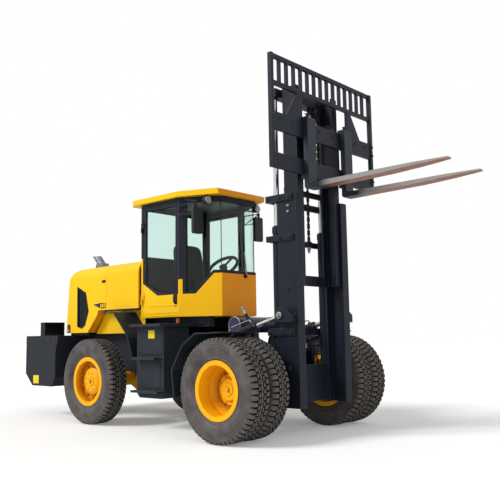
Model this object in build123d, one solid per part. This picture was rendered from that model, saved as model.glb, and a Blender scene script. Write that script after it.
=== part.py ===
from build123d import *
import os

os.makedirs("parts", exist_ok=True)

# Driving sizes in mm.  Front axle at x = 0, +X to the forks, +Y to the left, ground at z = 0.
PIN_GAP = 0.6
SEAT_GAP = 0.3

# Running gear
WHEELBASE = 2386.0
PIVOT_OFFSET = 3.0
TYRE_R = 511.0
TYRE_HALF_W = 127.0
DUAL_GAP = 41.0
RIM_R = 292.5
BEAD_R = 256.0
RIM_T = 13.0
RIM_LIP = 10.0
DISC_T = 14.0
HUB_R = 149.5
FRONT_TYRE_Y = 1020.0
REAR_TYRE_Y = 840.0
SPINDLE_R = 60.0
AXLE_TUBE_R = 80.0
AXLE_BOWL_R = 180.0
AXLE_PAD_H = 89.0

# Front and rear frames with the pivot between them
FRAME_IN_Y = 300.0
FRAME_T = 30.0
FRAME_DEPTH = 480.0
PIVOT_PIN_R = 40.0
NOSE_R = 110.0
NOSE_LEN = 340.0
NOSE_T = 35.0
NOSE_DROP = 170.0
NOSE_RISE = 250.0
LUG_T = 30.0
LUG_GAP = 5.0
LUG_LEN = 310.0
FENDER_T = 10.0
AIR_TANK_R = 88.0
AIR_TANK_HALF_L = 400.0

# Tail: counterweight, engine and hood
REAR_OVERHANG = 1714.0
CW_HALF_W = 800.0
CW_LEN = 770.0
CW_H = 670.0
CW_CORNER_R = 45.0
TOW_BORE_R = 25.0
TOW_BORE_BACK = 90.0
LAMP_BOX_H = 190.0
LAMP_BOX_W = 320.0
ENGINE_LEN = 930.0
ENGINE_H = 560.0
HOOD_GAP = 20.0
HOOD_H = 872.0
HOOD_WALL = 22.0
HOOD_PROUD = 30.0
HOOD_TAIL = 680.0
HOOD_LEAN = 78.0
HOOD_FALL = 25.0
HOOD_REAR_R = 210.0
HOOD_TOP_R = 150.0
COWL_LEN = 640.0
SEAM_GAP = 3.0
ARCH_RISE = 363.0
HINGE_IN = 42.0
HINGE_UP = 22.0
HINGE_PIN_R = 12.0
EXHAUST_R = 54.0
EXHAUST_Y = -350.0

# Cab
CAB_BEHIND_PIVOT = 660.0
CAB_LEN = 1130.0
CAB_HALF_W = 550.0
CAB_NOSE_LEN = 440.0
CAB_NOSE_HALF_W = 290.0
CAB_RISE = 180.0
CAB_H = 1390.0
CAB_WALL = 40.0
SILL_H = 260.0
COWL_H = 490.0
REAR_SILL_H = 725.0
PANE_T = 6.0
PANE_IN = 18.0
DOOR_GAP = 5.0
DOOR_HINGE_R = 11.0
ROOF_EDGE = 62.0
ROOF_CROWN = 24.0
ROOF_SIDE = 55.0
ROOF_FRONT = 60.0
ROOF_REAR = 180.0

# Mast
TILT_X = 140.0
TILT_DROP = 41.0
TILT_PIN_R = 30.0
MAST_HALF_W = 450.0
MAST_BACK = 110.0
MAST_DEPTH = 250.0
MAST_FOOT = 160.0
MAST_LEN = 2155.0
MAST_FLANGE = 25.0
MAST_FLANGE_W = 105.0
MAST_WEB = 20.0
STAGE_LIFT = 1220.0
STAGE_REST = 20.0
STAGE_GAP = 8.0
INNER_LEN = 2100.0
INNER_SIDE_GAP = 84.0
INNER_FLANGE_W = 96.0
INNER_FLANGE = 20.0
INNER_WEB = 16.0
LIFT_BARREL_R = 48.0
LIFT_ROD_R = 30.0
CHAIN_Y = 185.0
CHAIN_HALF_W = 20.0
CHAIN_T = 18.0
CHAIN_PITCH = 50.0
PULLEY_R = 70.0
PULLEY_DROP = 200.0

# Carriage and forks
FORK_LOW_Z = 65.0
FORK_T = 57.0
FORK_HALF_W = 70.0
FORK_Y = 330.0
FORK_LEN = 1545.0
FORK_HANG = 150.0
CARRIAGE_GAP = 45.0
CARRIAGE_T = 35.0
CARRIAGE_HALF_W = 905.0
LOW_BAR_H = 155.0
HIGH_BAR_H = 180.0
BAR_PITCH = 385.0
BACKREST_H = 592.0
POST_W = 40.0
RAIL_H = 42.0
GRILLE_H = 317.0
GRILLE_BARS = 15
GRILLE_BAR_W = 32.0

# Cylinders that tilt the mast and steer the frames
TILT_TAIL_X = -480.0
TILT_TAIL_UP = 400.0
TILT_EYE_IN = 85.0
TILT_EYE_UP = 760.0
TILT_CYL_Y = 500.0
TILT_BARREL_LEN = 470.0
TILT_BARREL_R = 48.0
TILT_ROD_R = 26.0
STEER_TAIL = 450.0
STEER_REACH = 400.0
STEER_Y = 205.0
STEER_UP = 55.0
STEER_BARREL_LEN = 440.0
STEER_BARREL_R = 42.0
STEER_ROD_R = 22.0

# Levels and stations that follow from them
AXLE_Z = TYRE_R
PAD_Z = AXLE_Z + AXLE_PAD_H
FRAME_TOP_Z = PAD_Z + FRAME_DEPTH
FRAME_OUT_Y = FRAME_IN_Y + FRAME_T
REAR_X = -WHEELBASE
REAR_END = REAR_X - REAR_OVERHANG
PIVOT_X = PIVOT_OFFSET - WHEELBASE / 2
SHOULDER_X = PIVOT_X + NOSE_LEN
LUG_ROOT_X = PIVOT_X - LUG_LEN
LUG_END_X = LUG_ROOT_X - 300
DUAL_PITCH = 2 * TYRE_HALF_W + DUAL_GAP
TYRE_TOP_Z = AXLE_Z + TYRE_R
CW_FRONT_X = REAR_END + CW_LEN
CW_TOP_Z = FRAME_TOP_Z - 10
CW_BOTTOM_Z = CW_TOP_Z - CW_H
CAB_REAR_X = PIVOT_X - CAB_BEHIND_PIVOT
CAB_FRONT_X = CAB_REAR_X + CAB_LEN
CAB_B_X = CAB_FRONT_X - CAB_NOSE_LEN
CAB_FLOOR_Z = FRAME_TOP_Z + CAB_RISE
CAB_TOP_Z = CAB_FLOOR_Z + CAB_H
HOOD_HALF_W = CAB_HALF_W + HOOD_PROUD
HOOD_REAR_X = REAR_END + HOOD_TAIL
HOOD_FRONT_X = CAB_REAR_X - 20
HOOD_SEAM_X = HOOD_FRONT_X - COWL_LEN
HOOD_BOTTOM_Z = FRAME_TOP_Z + HOOD_GAP
HOOD_TOP_Z = HOOD_BOTTOM_Z + HOOD_H
HINGE_X = HOOD_REAR_X + HINGE_IN
HINGE_Z = HOOD_BOTTOM_Z + HINGE_UP
ARCH_TOP_Z = TYRE_TOP_Z + ARCH_RISE
TILT_Z = AXLE_Z - TILT_DROP
MAST_REAR_X = TILT_X + MAST_BACK
MAST_FRONT_X = MAST_REAR_X + MAST_DEPTH
MAST_BOTTOM_Z = TILT_Z - MAST_FOOT
MAST_TOP_Z = MAST_BOTTOM_Z + MAST_LEN
INNER_BOTTOM_Z = MAST_BOTTOM_Z + STAGE_REST + STAGE_LIFT
INNER_TOP_Z = INNER_BOTTOM_Z + INNER_LEN
INNER_OUT_Y = MAST_HALF_W - INNER_SIDE_GAP
INNER_IN_Y = INNER_OUT_Y - INNER_FLANGE_W
INNER_REAR_X = MAST_REAR_X + MAST_FLANGE + STAGE_GAP
INNER_FRONT_X = MAST_FRONT_X - MAST_FLANGE - STAGE_GAP
STAGE_MID_X = (INNER_REAR_X + INNER_FRONT_X) / 2
LIFT_X = MAST_REAR_X - LIFT_BARREL_R - 7
LIFT_Y = MAST_HALF_W - 60
PULLEY_X = MAST_REAR_X
PULLEY_Z = INNER_TOP_Z - PULLEY_DROP
FORK_HEEL_Z = FORK_LOW_Z + 2 * STAGE_LIFT
CARRIAGE_X = MAST_FRONT_X + CARRIAGE_GAP
CARRIAGE_FRONT_X = CARRIAGE_X + CARRIAGE_T
FORK_TIP_X = CARRIAGE_FRONT_X + FORK_LEN
LOW_BAR_Z = FORK_HEEL_Z + FORK_HANG
HIGH_BAR_Z = LOW_BAR_Z + BAR_PITCH
BAR_TOP_Z = HIGH_BAR_Z + HIGH_BAR_H
BACKREST_TOP_Z = BAR_TOP_Z + BACKREST_H
TILT_TAIL_Z = PAD_Z + TILT_TAIL_UP
TILT_EYE_X = MAST_REAR_X + TILT_EYE_IN
TILT_EYE_Z = TILT_Z + TILT_EYE_UP
STEER_TAIL_X = PIVOT_X - STEER_TAIL
STEER_EYE_X = PIVOT_X + STEER_REACH
STEER_Z = PAD_Z + STEER_UP
ORIGIN_SHIFT = -(REAR_END + FORK_TIP_X) / 2
PAST = 1.0
WIDE = 2 * FRONT_TYRE_Y
SIDES = (("right", -1), ("left", 1))


def box(x0, x1, y0, y1, z0, z1):
    size = (abs(x1 - x0), abs(y1 - y0), abs(z1 - z0))
    return Pos((x0 + x1) / 2, (y0 + y1) / 2, (z0 + z1) / 2) * Box(*size)


def prism_xz(points, y0, y1, rounds=()):
    low, high = min(y0, y1), max(y0, y1)
    face = make_face(Polyline(*[(x, low, z) for x, z in points], close=True))
    for (x, z), radius in rounds:
        face = fillet(face.vertices().sort_by_distance((x, low, z))[:1], radius)
    return extrude(face, amount=high - low, dir=(0, 1, 0))


def prism_xy(points, z0, z1):
    outline = Polyline(*[(x, y, z0) for x, y in points], close=True)
    return extrude(make_face(outline), amount=z1 - z0, dir=(0, 0, 1))


def prism_yz(points, x0, x1, rounds=()):
    face = make_face(Polyline(*[(x0, y, z) for y, z in points], close=True))
    for (y, z), radius in rounds:
        face = fillet(face.vertices().sort_by_distance((x0, y, z))[:1], radius)
    return extrude(face, amount=x1 - x0, dir=(1, 0, 0))


def rod(start, end, radius):
    a, b = Vector(*start), Vector(*end)
    base = Plane(origin=a, z_dir=b - a)
    return base * Cylinder(radius, (b - a).length, align=(Align.CENTER, Align.CENTER, Align.MIN))


def pin_y(x, z, y0, y1, radius):
    return rod((x, min(y0, y1), z), (x, max(y0, y1), z), radius)


def pin_z(x, y, z0, z1, radius):
    return rod((x, y, z0), (x, y, z1), radius)


def spun(points):
    outline = Polyline(*[(r, y, 0) for r, y in points], close=True)
    return revolve(make_face(outline), axis=Axis.Y)


def flipped(points, sign):
    return [(r, sign * y) for r, y in points]


def both(shape):
    return [shape, mirror(shape, about=Plane.XZ)]


def fuse(shapes):
    first = shapes[0]
    return first.fuse(*shapes[1:]) if len(shapes) > 1 else first


def bent_plate(path, thickness, y0, y1):
    sheets = []
    for (x0, z0), (x1, z1) in zip(path, path[1:]):
        run = Vector(x1 - x0, 0, z1 - z0)
        out = Vector(-run.Z, 0, run.X).normalized() * thickness
        sheet = ((x0, z0), (x1, z1), (x1 + out.X, z1 + out.Z), (x0 + out.X, z0 + out.Z))
        sheets.append(prism_xz(sheet, y0, y1))
    corners = [pin_y(x, z, y0, y1, 0.6 * thickness) for x, z in path[1:-1]]
    return fuse(sheets + corners)


def save(name, shapes):
    solids = []
    for shape in shapes:
        solids += shape.solids()
    moved = [Pos(ORIGIN_SHIFT, 0, 0) * solid for solid in solids]
    export_step(Compound(children=moved), f"parts/{name}.step")


# Wheels: columns are radius and distance along the axle
BEAD_HALF_W = TYRE_HALF_W - 35
RIM_HALF_W = BEAD_HALF_W + 1
TREAD_HALF_W = TYRE_HALF_W - 30
SHOULDER_R = TYRE_R - 31
BULGE_R = (RIM_R + SHOULDER_R) / 2 + 9
RIM_IN_R = BEAD_R - SEAT_GAP
BARREL_R = BEAD_R - RIM_T
DISC_Y = DUAL_PITCH / 2 - SEAT_GAP
LIP_Y = RIM_HALF_W + RIM_LIP
HUB_BORE_R = SPINDLE_R + PIN_GAP
DISC_HOLE_R = HUB_R + SEAT_GAP
REAR_HUB_R = HUB_R + 15
REAR_HOLE_R = REAR_HUB_R + SEAT_GAP
TYRE_PROFILE = (
    (BEAD_R, -BEAD_HALF_W), (RIM_R, -BEAD_HALF_W), (BULGE_R, -TYRE_HALF_W),
    (SHOULDER_R, 8 - TYRE_HALF_W), (TYRE_R, -TREAD_HALF_W), (TYRE_R, TREAD_HALF_W),
    (SHOULDER_R, TYRE_HALF_W - 8), (BULGE_R, TYRE_HALF_W), (RIM_R, BEAD_HALF_W),
    (BEAD_R, BEAD_HALF_W),
)
DUAL_RIM_PROFILE = (
    (RIM_IN_R, RIM_HALF_W), (RIM_R, RIM_HALF_W), (RIM_R, LIP_Y), (BARREL_R, LIP_Y), (BARREL_R, -50),
    (HUB_R + 40, DISC_T - DISC_Y), (DISC_HOLE_R, DISC_T - DISC_Y), (DISC_HOLE_R, -DISC_Y),
    (HUB_R + 50, -DISC_Y), (BARREL_R, -85), (BARREL_R, -LIP_Y), (RIM_R, -LIP_Y), (RIM_R, -RIM_HALF_W),
    (RIM_IN_R, -RIM_HALF_W),
)
SINGLE_RIM_PROFILE = (
    (RIM_IN_R, RIM_HALF_W), (RIM_R, RIM_HALF_W), (RIM_R, LIP_Y), (BARREL_R, LIP_Y), (BARREL_R, 6),
    (REAR_HOLE_R, 6), (REAR_HOLE_R, -10), (BARREL_R, -10), (BARREL_R, -LIP_Y), (RIM_R, -LIP_Y),
    (RIM_R, -RIM_HALF_W), (RIM_IN_R, -RIM_HALF_W),
)
FRONT_HUB_PROFILE = (
    (0, 78), (HUB_R - 45, 78), (HUB_R - 30, 53), (HUB_R, 53), (HUB_R, -112), (HUB_BORE_R, -112),
    (HUB_BORE_R, -12), (0, -12),
)
REAR_HUB_PROFILE = (
    (0, 55), (REAR_HUB_R - 45, 55), (REAR_HUB_R, 32), (REAR_HUB_R, -90), (HUB_BORE_R, -90),
    (HUB_BORE_R, 2), (0, 2),
)
dual_mid_y = FRONT_TYRE_Y - DUAL_PITCH / 2
for side, sign in SIDES:
    front_at = Pos(0, 0, AXLE_Z)
    rear_at = Pos(REAR_X, sign * REAR_TYRE_Y, AXLE_Z)
    outer_at = front_at * Pos(0, sign * FRONT_TYRE_Y, 0)
    inner_at = front_at * Pos(0, sign * (FRONT_TYRE_Y - DUAL_PITCH), 0)
    hub_at = front_at * Pos(0, sign * dual_mid_y, 0)
    tyre = spun(TYRE_PROFILE)
    outer_rim = outer_at * spun(flipped(DUAL_RIM_PROFILE, sign))
    inner_rim = inner_at * spun(flipped(DUAL_RIM_PROFILE, -sign))
    front_hub = hub_at * spun(flipped(FRONT_HUB_PROFILE, sign))
    single_rim = rear_at * spun(flipped(SINGLE_RIM_PROFILE, sign))
    rear_hub = rear_at * spun(flipped(REAR_HUB_PROFILE, sign))
    save(f"front_{side}_tyres", [outer_at * tyre, inner_at * tyre])
    save(f"front_{side}_rims", [outer_rim, inner_rim, front_hub])
    save(f"rear_{side}_tyre", [rear_at * tyre])
    save(f"rear_{side}_rim", [single_rim, rear_hub])

# Axles: housing with its bowl, spindles and the pads under the frame
AXLE_PAD_HALF_L = 75.0
AXLES = (
    # name, station, housing half length, spindle half length
    ("front_axle", 0.0, dual_mid_y - 122, dual_mid_y - 16),
    ("rear_axle", REAR_X, REAR_TYRE_Y - 100, REAR_TYRE_Y - 2),
)
for name, x, tube_y, spindle_y in AXLES:
    half = ((AXLE_BOWL_R, 120), (AXLE_TUBE_R, 270), (AXLE_TUBE_R, tube_y), (SPINDLE_R, tube_y),
            (SPINDLE_R, spindle_y), (0, spindle_y))
    housing = Pos(x, 0, AXLE_Z) * spun([(r, -y) for r, y in reversed(half)] + list(half))
    pad = box(x - AXLE_PAD_HALF_L, x + AXLE_PAD_HALF_L, 15 - FRAME_IN_Y, -FRAME_OUT_Y - 15, AXLE_Z, PAD_Z)
    save(name, [fuse([housing] + both(pad))])

# Front frame: side plates, nose plates for the pivot, steering brackets and cylinder pins
FRONT_BACK_Z = PAD_Z + NOSE_RISE + NOSE_T
FRONT_TOP_Z = FRONT_BACK_Z + 45
FRONT_SIDE_OUTLINE = (
    (SHOULDER_X, PAD_Z - NOSE_DROP), (-340, PAD_Z - NOSE_DROP), (-230, PAD_Z), (TILT_X - 60, PAD_Z),
    (TILT_X - 45, TILT_Z - 45), (TILT_X - 10, TILT_Z - 52), (TILT_X + 40, TILT_Z - 40),
    (TILT_X + 50, TILT_Z), (TILT_X + 40, TILT_Z + 50), (TILT_X - 30, PAD_Z + 40),
    (TILT_X - 45, FRONT_TOP_Z), (TILT_TAIL_X + 100, FRONT_TOP_Z), (TILT_TAIL_X + 60, TILT_TAIL_Z + 50),
    (TILT_TAIL_X - 50, TILT_TAIL_Z + 50), (TILT_TAIL_X - 90, FRONT_TOP_Z), (SHOULDER_X, FRONT_BACK_Z),
)
NOSE_PLATES = (
    # underside, front end
    (PAD_Z - NOSE_DROP, -350.0),
    (PAD_Z + NOSE_RISE, TILT_X - 80),
)
TILT_PIN_END_Y = MAST_HALF_W - 10
TAIL_PIN_R = 26.0
EYE_HALF_W = 22.0
front_parts = []
for sign in (-1, 1):
    front_parts.append(prism_xz(FRONT_SIDE_OUTLINE, sign * FRAME_IN_Y, sign * FRAME_OUT_Y))
    front_parts.append(pin_y(TILT_X, TILT_Z, sign * FRAME_IN_Y, sign * TILT_PIN_END_Y, TILT_PIN_R))
    tail_end_y = sign * (TILT_CYL_Y + EYE_HALF_W + 6)
    front_parts.append(pin_y(TILT_TAIL_X, TILT_TAIL_Z, sign * FRAME_IN_Y, tail_end_y, TAIL_PIN_R))
for z0, front_x in NOSE_PLATES:
    outline = (
        (front_x, -FRAME_IN_Y), (front_x, FRAME_IN_Y), (SHOULDER_X, FRAME_IN_Y),
        (PIVOT_X + 20, NOSE_R), (PIVOT_X + 20, -NOSE_R), (SHOULDER_X, -FRAME_IN_Y),
    )
    front_parts.append(prism_xy(outline, z0, z0 + NOSE_T))
    front_parts.append(pin_z(PIVOT_X, 0, z0, z0 + NOSE_T, NOSE_R))
for z0, z1 in ((STEER_Z - 70, STEER_Z - 38), (STEER_Z + 38, STEER_Z + 70)):
    front_parts.append(box(SHOULDER_X, STEER_EYE_X + 150, -FRAME_IN_Y, FRAME_IN_Y, z0, z1))
front_frame = fuse(front_parts) - pin_z(PIVOT_X, 0, 0, FRAME_TOP_Z, PIVOT_PIN_R + PIN_GAP)
save("front_frame", [front_frame])

# Fenders over the dual wheels, on arms from the front frame
FENDER_IN_Y = FRONT_TYRE_Y - DUAL_PITCH - TYRE_HALF_W - 23
FENDER_OUT_Y = FRONT_TYRE_Y + TYRE_HALF_W - 22
FRONT_FENDER_PATH = (
    (60, TYRE_TOP_Z + 53), (-300, TYRE_TOP_Z + 43), (21 - TYRE_R, TYRE_TOP_Z - 77),
    (-TYRE_R - 134, AXLE_Z + 189), (-TYRE_R - 101, AXLE_Z - 91),
)
ARM_W = 30.0
ARM_TOP_Z = FRONT_TOP_Z - 10
fender_parts = [bent_plate(FRONT_FENDER_PATH, FENDER_T, -FENDER_OUT_Y, -FENDER_IN_Y)]
for x in (-250, -20):
    fender_parts.append(box(x, x + ARM_W, -FENDER_IN_Y, -FRAME_OUT_Y, ARM_TOP_Z - ARM_W, ARM_TOP_Z))
    fender_parts.append(
        box(x, x + ARM_W, -FENDER_IN_Y - 15, 10 - FENDER_IN_Y, ARM_TOP_Z - ARM_W, TYRE_TOP_Z + 44)
    )
save("front_fenders", both(fuse(fender_parts)))

# Air tank across the front frame on two saddles
AIR_TANK_X = TILT_TAIL_X + 50
AIR_TANK_Z = TILT_TAIL_Z + 150
air_parts = [pin_y(AIR_TANK_X, AIR_TANK_Z, -AIR_TANK_HALF_L, AIR_TANK_HALF_L, AIR_TANK_R)]
for y in (50 - FRAME_IN_Y, FRAME_IN_Y - 50):
    air_parts.append(box(AIR_TANK_X - 40, AIR_TANK_X + 40, y - 15, y + 15, FRONT_BACK_Z, AIR_TANK_Z - 70))
save("air_tank", [fuse(air_parts)])

# Rear frame: side plates, pivot lugs and pins, deck, cab bearers and hood hinge posts
LUG_LOW_Z = PAD_Z - NOSE_DROP - LUG_GAP - LUG_T
LUG_HIGH_Z = PAD_Z + NOSE_RISE - LUG_GAP - LUG_T
LUG_STEP = NOSE_T + LUG_T + 2 * LUG_GAP
TAIL_LOW_Z = PAD_Z - 120
BEARER_IN_Y = FRAME_IN_Y - 60
FENDER_SEAT_Y = HOOD_HALF_W - 128
REAR_SIDE_OUTLINE = (
    (LUG_ROOT_X, LUG_LOW_Z), (REAR_X + 486, LUG_LOW_Z), (REAR_X + 256, PAD_Z), (REAR_X - 254, PAD_Z),
    (REAR_X - 374, TAIL_LOW_Z), (CW_FRONT_X, TAIL_LOW_Z), (CW_FRONT_X, FRAME_TOP_Z),
    (LUG_ROOT_X, FRAME_TOP_Z),
)
LUG_OUTLINE = (
    (PIVOT_X - 20, -NOSE_R), (PIVOT_X - 20, NOSE_R), (LUG_ROOT_X, FRAME_IN_Y), (LUG_END_X, FRAME_IN_Y),
    (LUG_END_X, -FRAME_IN_Y), (LUG_ROOT_X, -FRAME_IN_Y),
)
rear_parts = both(prism_xz(REAR_SIDE_OUTLINE, -FRAME_OUT_Y, -FRAME_IN_Y))
for pair_z in (LUG_LOW_Z, LUG_HIGH_Z):
    for z0 in (pair_z, pair_z + LUG_STEP):
        rear_parts.append(prism_xy(LUG_OUTLINE, z0, z0 + LUG_T))
        rear_parts.append(pin_z(PIVOT_X, 0, z0, z0 + LUG_T, NOSE_R))
    rear_parts.append(pin_z(PIVOT_X, 0, pair_z, pair_z + LUG_STEP + LUG_T, PIVOT_PIN_R))
rear_parts.append(box(LUG_END_X - 20, LUG_END_X + 10, -FRAME_IN_Y, FRAME_IN_Y, LUG_LOW_Z, FRAME_TOP_Z))
rear_parts.append(box(CW_FRONT_X, CW_FRONT_X + 30, -FRAME_IN_Y, FRAME_IN_Y, TAIL_LOW_Z, FRAME_TOP_Z))
rear_parts.append(
    box(CW_FRONT_X + 30, LUG_END_X - 20, -FRAME_IN_Y, FRAME_IN_Y, FRAME_TOP_Z - 25, FRAME_TOP_Z)
)
for z0, z1 in ((STEER_Z - 70, STEER_Z - 45), (STEER_Z + 45, STEER_Z + 70)):
    rear_parts.append(box(LUG_END_X, STEER_TAIL_X + 50, -FRAME_IN_Y, FRAME_IN_Y, z0, z1))
STEER_PIN_R = 24.0
for sign in (-1, 1):
    steer_y, inner_y, outer_y = sign * STEER_Y, sign * BEARER_IN_Y, sign * FRAME_OUT_Y
    rear_parts += [
        pin_z(STEER_TAIL_X, steer_y, STEER_Z - 60, STEER_Z + 60, STEER_PIN_R),
        box(CAB_REAR_X + 5, PIVOT_X + 290, inner_y, outer_y, CAB_FLOOR_Z - 120, CAB_FLOOR_Z),
        box(CAB_REAR_X + 5, LUG_ROOT_X, inner_y, outer_y, FRAME_TOP_Z - 20, CAB_FLOOR_Z - 110),
        box(REAR_X + 236, REAR_X + 486, outer_y, sign * FENDER_SEAT_Y, FRAME_TOP_Z - 80, FRAME_TOP_Z),
        box(CW_FRONT_X, HINGE_X - 20, sign * 180, sign * 260, CW_TOP_Z - 110, CW_TOP_Z - 10),
        box(HINGE_X - 8, HINGE_X + 20, sign * 200, sign * 230, CW_TOP_Z - 30, HINGE_Z),
        pin_y(HINGE_X, HINGE_Z, sign * 170, sign * 290, HINGE_PIN_R),
    ]
save("rear_frame", [fuse(rear_parts)])

# Counterweight with chamfered lower tail, side shoulders and a tow pocket with its bore
CW_STEP_X = CW_FRONT_X - 120
CW_OUTLINE = (
    (CW_FRONT_X, CW_TOP_Z - 120), (CW_FRONT_X, CW_BOTTOM_Z + 120), (CW_FRONT_X - 90, CW_BOTTOM_Z),
    (REAR_END + 210, CW_BOTTOM_Z), (REAR_END, CW_BOTTOM_Z + 190), (REAR_END, CW_TOP_Z),
    (CW_STEP_X, CW_TOP_Z), (CW_STEP_X, CW_TOP_Z - 120),
)
CW_SHOULDER = (
    (CW_STEP_X + 10, CW_BOTTOM_Z + 20), (CW_FRONT_X + 60, CW_TOP_Z - 2), (CW_STEP_X + 10, CW_TOP_Z - 2),
)
TOW_Z = CW_TOP_Z - 370
counterweight = prism_xz(CW_OUTLINE, -CW_HALF_W, CW_HALF_W)
tail_corners = counterweight.edges().filter_by(Axis.Z).group_by(Axis.X)[0]
counterweight = fillet(tail_corners, CW_CORNER_R)
counterweight = fuse([counterweight] + both(prism_xz(CW_SHOULDER, -CW_HALF_W, -FRAME_OUT_Y - 15)))
counterweight -= box(REAR_END - PAST, REAR_END + 160, -110, 110, TOW_Z - 60, TOW_Z + 60)
counterweight -= pin_z(REAR_END + TOW_BORE_BACK, 0, TOW_Z - 140, CW_TOP_Z + PAST, TOW_BORE_R)
save("counterweight", [counterweight])

# Rear lamp boxes standing on the counterweight, open to the front, each with a bail beside it
LAMP_BOX_Y = CW_HALF_W - 230
LAMP_WALL = 14.0
lamp_rear_x = REAR_END + 12
lamp_front_x = lamp_rear_x + 110
lamp_top_z = CW_TOP_Z + LAMP_BOX_H
lamp_in_y = LAMP_BOX_Y - LAMP_BOX_W
lamp_box = box(lamp_rear_x, lamp_front_x, -LAMP_BOX_Y, -lamp_in_y, CW_TOP_Z, lamp_top_z)
lamp_box -= box(
    lamp_rear_x + LAMP_WALL, lamp_front_x + PAST, LAMP_WALL - LAMP_BOX_Y, -lamp_in_y - LAMP_WALL,
    CW_TOP_Z + LAMP_WALL, lamp_top_z - LAMP_WALL,
)
lens_y = (lamp_in_y + LAMP_BOX_Y) / 2
lens_z = (CW_TOP_Z + lamp_top_z) / 2
lens = rod((lamp_rear_x - 10, -lens_y, lens_z), (lamp_rear_x + LAMP_WALL, -lens_y, lens_z), 55)
save("rear_lamp_boxes", both(fuse([lamp_box, lens])))

# Engine as one plain block
engine_front_x = REAR_X + 236
save("engine_block", [box(engine_front_x - ENGINE_LEN, engine_front_x, -270, 270, FRAME_TOP_Z,
                          FRAME_TOP_Z + ENGINE_H)])


# Hood: side and front outlines crossed and hollowed, split at the seam into hood and fixed cowl
def hood_form(inset, front_x, low_z):
    rear_x, half_w, top_z = HOOD_REAR_X + inset, HOOD_HALF_W - inset, HOOD_TOP_Z - inset
    corner = (rear_x + HOOD_LEAN, top_z - HOOD_FALL)
    side = ((rear_x, low_z), corner, (HOOD_FRONT_X, top_z), (front_x, top_z), (front_x, low_z))
    if front_x == HOOD_FRONT_X:
        side = ((rear_x, low_z), corner, (front_x, top_z), (front_x, low_z))
    front = ((-half_w, low_z), (-half_w, top_z), (half_w, top_z), (half_w, low_z))
    across = prism_xz(side, -WIDE, WIDE, ((corner, HOOD_REAR_R - inset),))
    rounds = ((front[1], HOOD_TOP_R - inset), (front[2], HOOD_TOP_R - inset))
    return across & prism_yz(front, rear_x - HOOD_LEAN, front_x, rounds)


skin = hood_form(0, HOOD_FRONT_X, HOOD_BOTTOM_Z)
core = hood_form(HOOD_WALL, HOOD_FRONT_X + 2 * HOOD_WALL, HOOD_BOTTOM_Z - PAST)
ARCH = (
    (REAR_X - 539, HOOD_BOTTOM_Z - PAST), (REAR_X - 324, ARCH_TOP_Z - 55), (REAR_X - 304, ARCH_TOP_Z),
    (HOOD_FRONT_X + PAST, ARCH_TOP_Z), (HOOD_FRONT_X + PAST, HOOD_BOTTOM_Z - PAST),
)
SIDE_GRILLE = (
    (HOOD_REAR_X + 260, HOOD_BOTTOM_Z + 615), (HOOD_REAR_X + 445, HOOD_BOTTOM_Z + 530),
    (HOOD_REAR_X + 515, HOOD_BOTTOM_Z + 280), (HOOD_REAR_X + 435, HOOD_BOTTOM_Z + 95),
    (HOOD_REAR_X + 360, HOOD_BOTTOM_Z + 60), (HOOD_REAR_X + 275, HOOD_BOTTOM_Z + 80),
)
REAR_GRILLE_Z = (HOOD_BOTTOM_Z + 90, HOOD_BOTTOM_Z + 440)
REAR_GRILLE_HALF_W = HOOD_HALF_W - 160
hole_end_x = HOOD_REAR_X + HOOD_LEAN + 2 * HOOD_WALL
shell = skin - core - prism_xz(ARCH, -WIDE, WIDE) - prism_xz(SIDE_GRILLE, -WIDE, WIDE)
shell -= box(HOOD_REAR_X - PAST, hole_end_x, -REAR_GRILLE_HALF_W, REAR_GRILLE_HALF_W, *REAR_GRILLE_Z)
hood = shell & box(HOOD_REAR_X - PAST, HOOD_SEAM_X - SEAM_GAP, -WIDE, WIDE, 0, 2 * HOOD_TOP_Z)
cowl = shell & box(HOOD_SEAM_X, HOOD_FRONT_X, -WIDE, WIDE, 0, 2 * HOOD_TOP_Z)
knuckles = []
for sign in (-1, 1):
    slot_low_z, slot_top_z = HOOD_BOTTOM_Z - PAST, HINGE_Z + 43
    hood -= box(HOOD_REAR_X - PAST, HINGE_X + 30, sign * 190, sign * 240, slot_low_z, slot_top_z)
    eye = box(HOOD_REAR_X + 14, HINGE_X + 18, sign * 262, sign * 285, HOOD_BOTTOM_Z, HINGE_Z + 40)
    knuckles.append(eye - pin_y(HINGE_X, HINGE_Z, sign * 250, sign * 300, HINGE_PIN_R + PIN_GAP))
save("engine_hood", [fuse([hood] + knuckles)])
save("hood_cowl", [cowl])

# Grilles filling the hood openings
BAR_W = 12.0
GRILLE_PITCH_X = 55.0
GRILLE_PITCH_Z = 35.0
bar_out_y, bar_in_y = -HOOD_HALF_W + 5, -HOOD_HALF_W + 17
grille_xs = [x for x, z in SIDE_GRILLE]
grille_zs = [z for x, z in SIDE_GRILLE]
side_bars = []
for i in range(int((max(grille_xs) - min(grille_xs)) / GRILLE_PITCH_X) + 1):
    x = min(grille_xs) + 10 + i * GRILLE_PITCH_X
    side_bars.append(box(x, x + BAR_W, bar_out_y, bar_in_y, min(grille_zs), max(grille_zs)))
for i in range(int((max(grille_zs) - min(grille_zs)) / GRILLE_PITCH_Z)):
    z = min(grille_zs) + 20 + i * GRILLE_PITCH_Z
    side_bars.append(box(min(grille_xs), max(grille_xs), bar_out_y, bar_in_y, z, z + BAR_W))
side_grille = fuse(side_bars) & prism_xz(SIDE_GRILLE, -WIDE, WIDE)


def rear_face_x(z):
    return HOOD_REAR_X + HOOD_LEAN * (z - HOOD_BOTTOM_Z) / (HOOD_H - HOOD_FALL)


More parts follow.
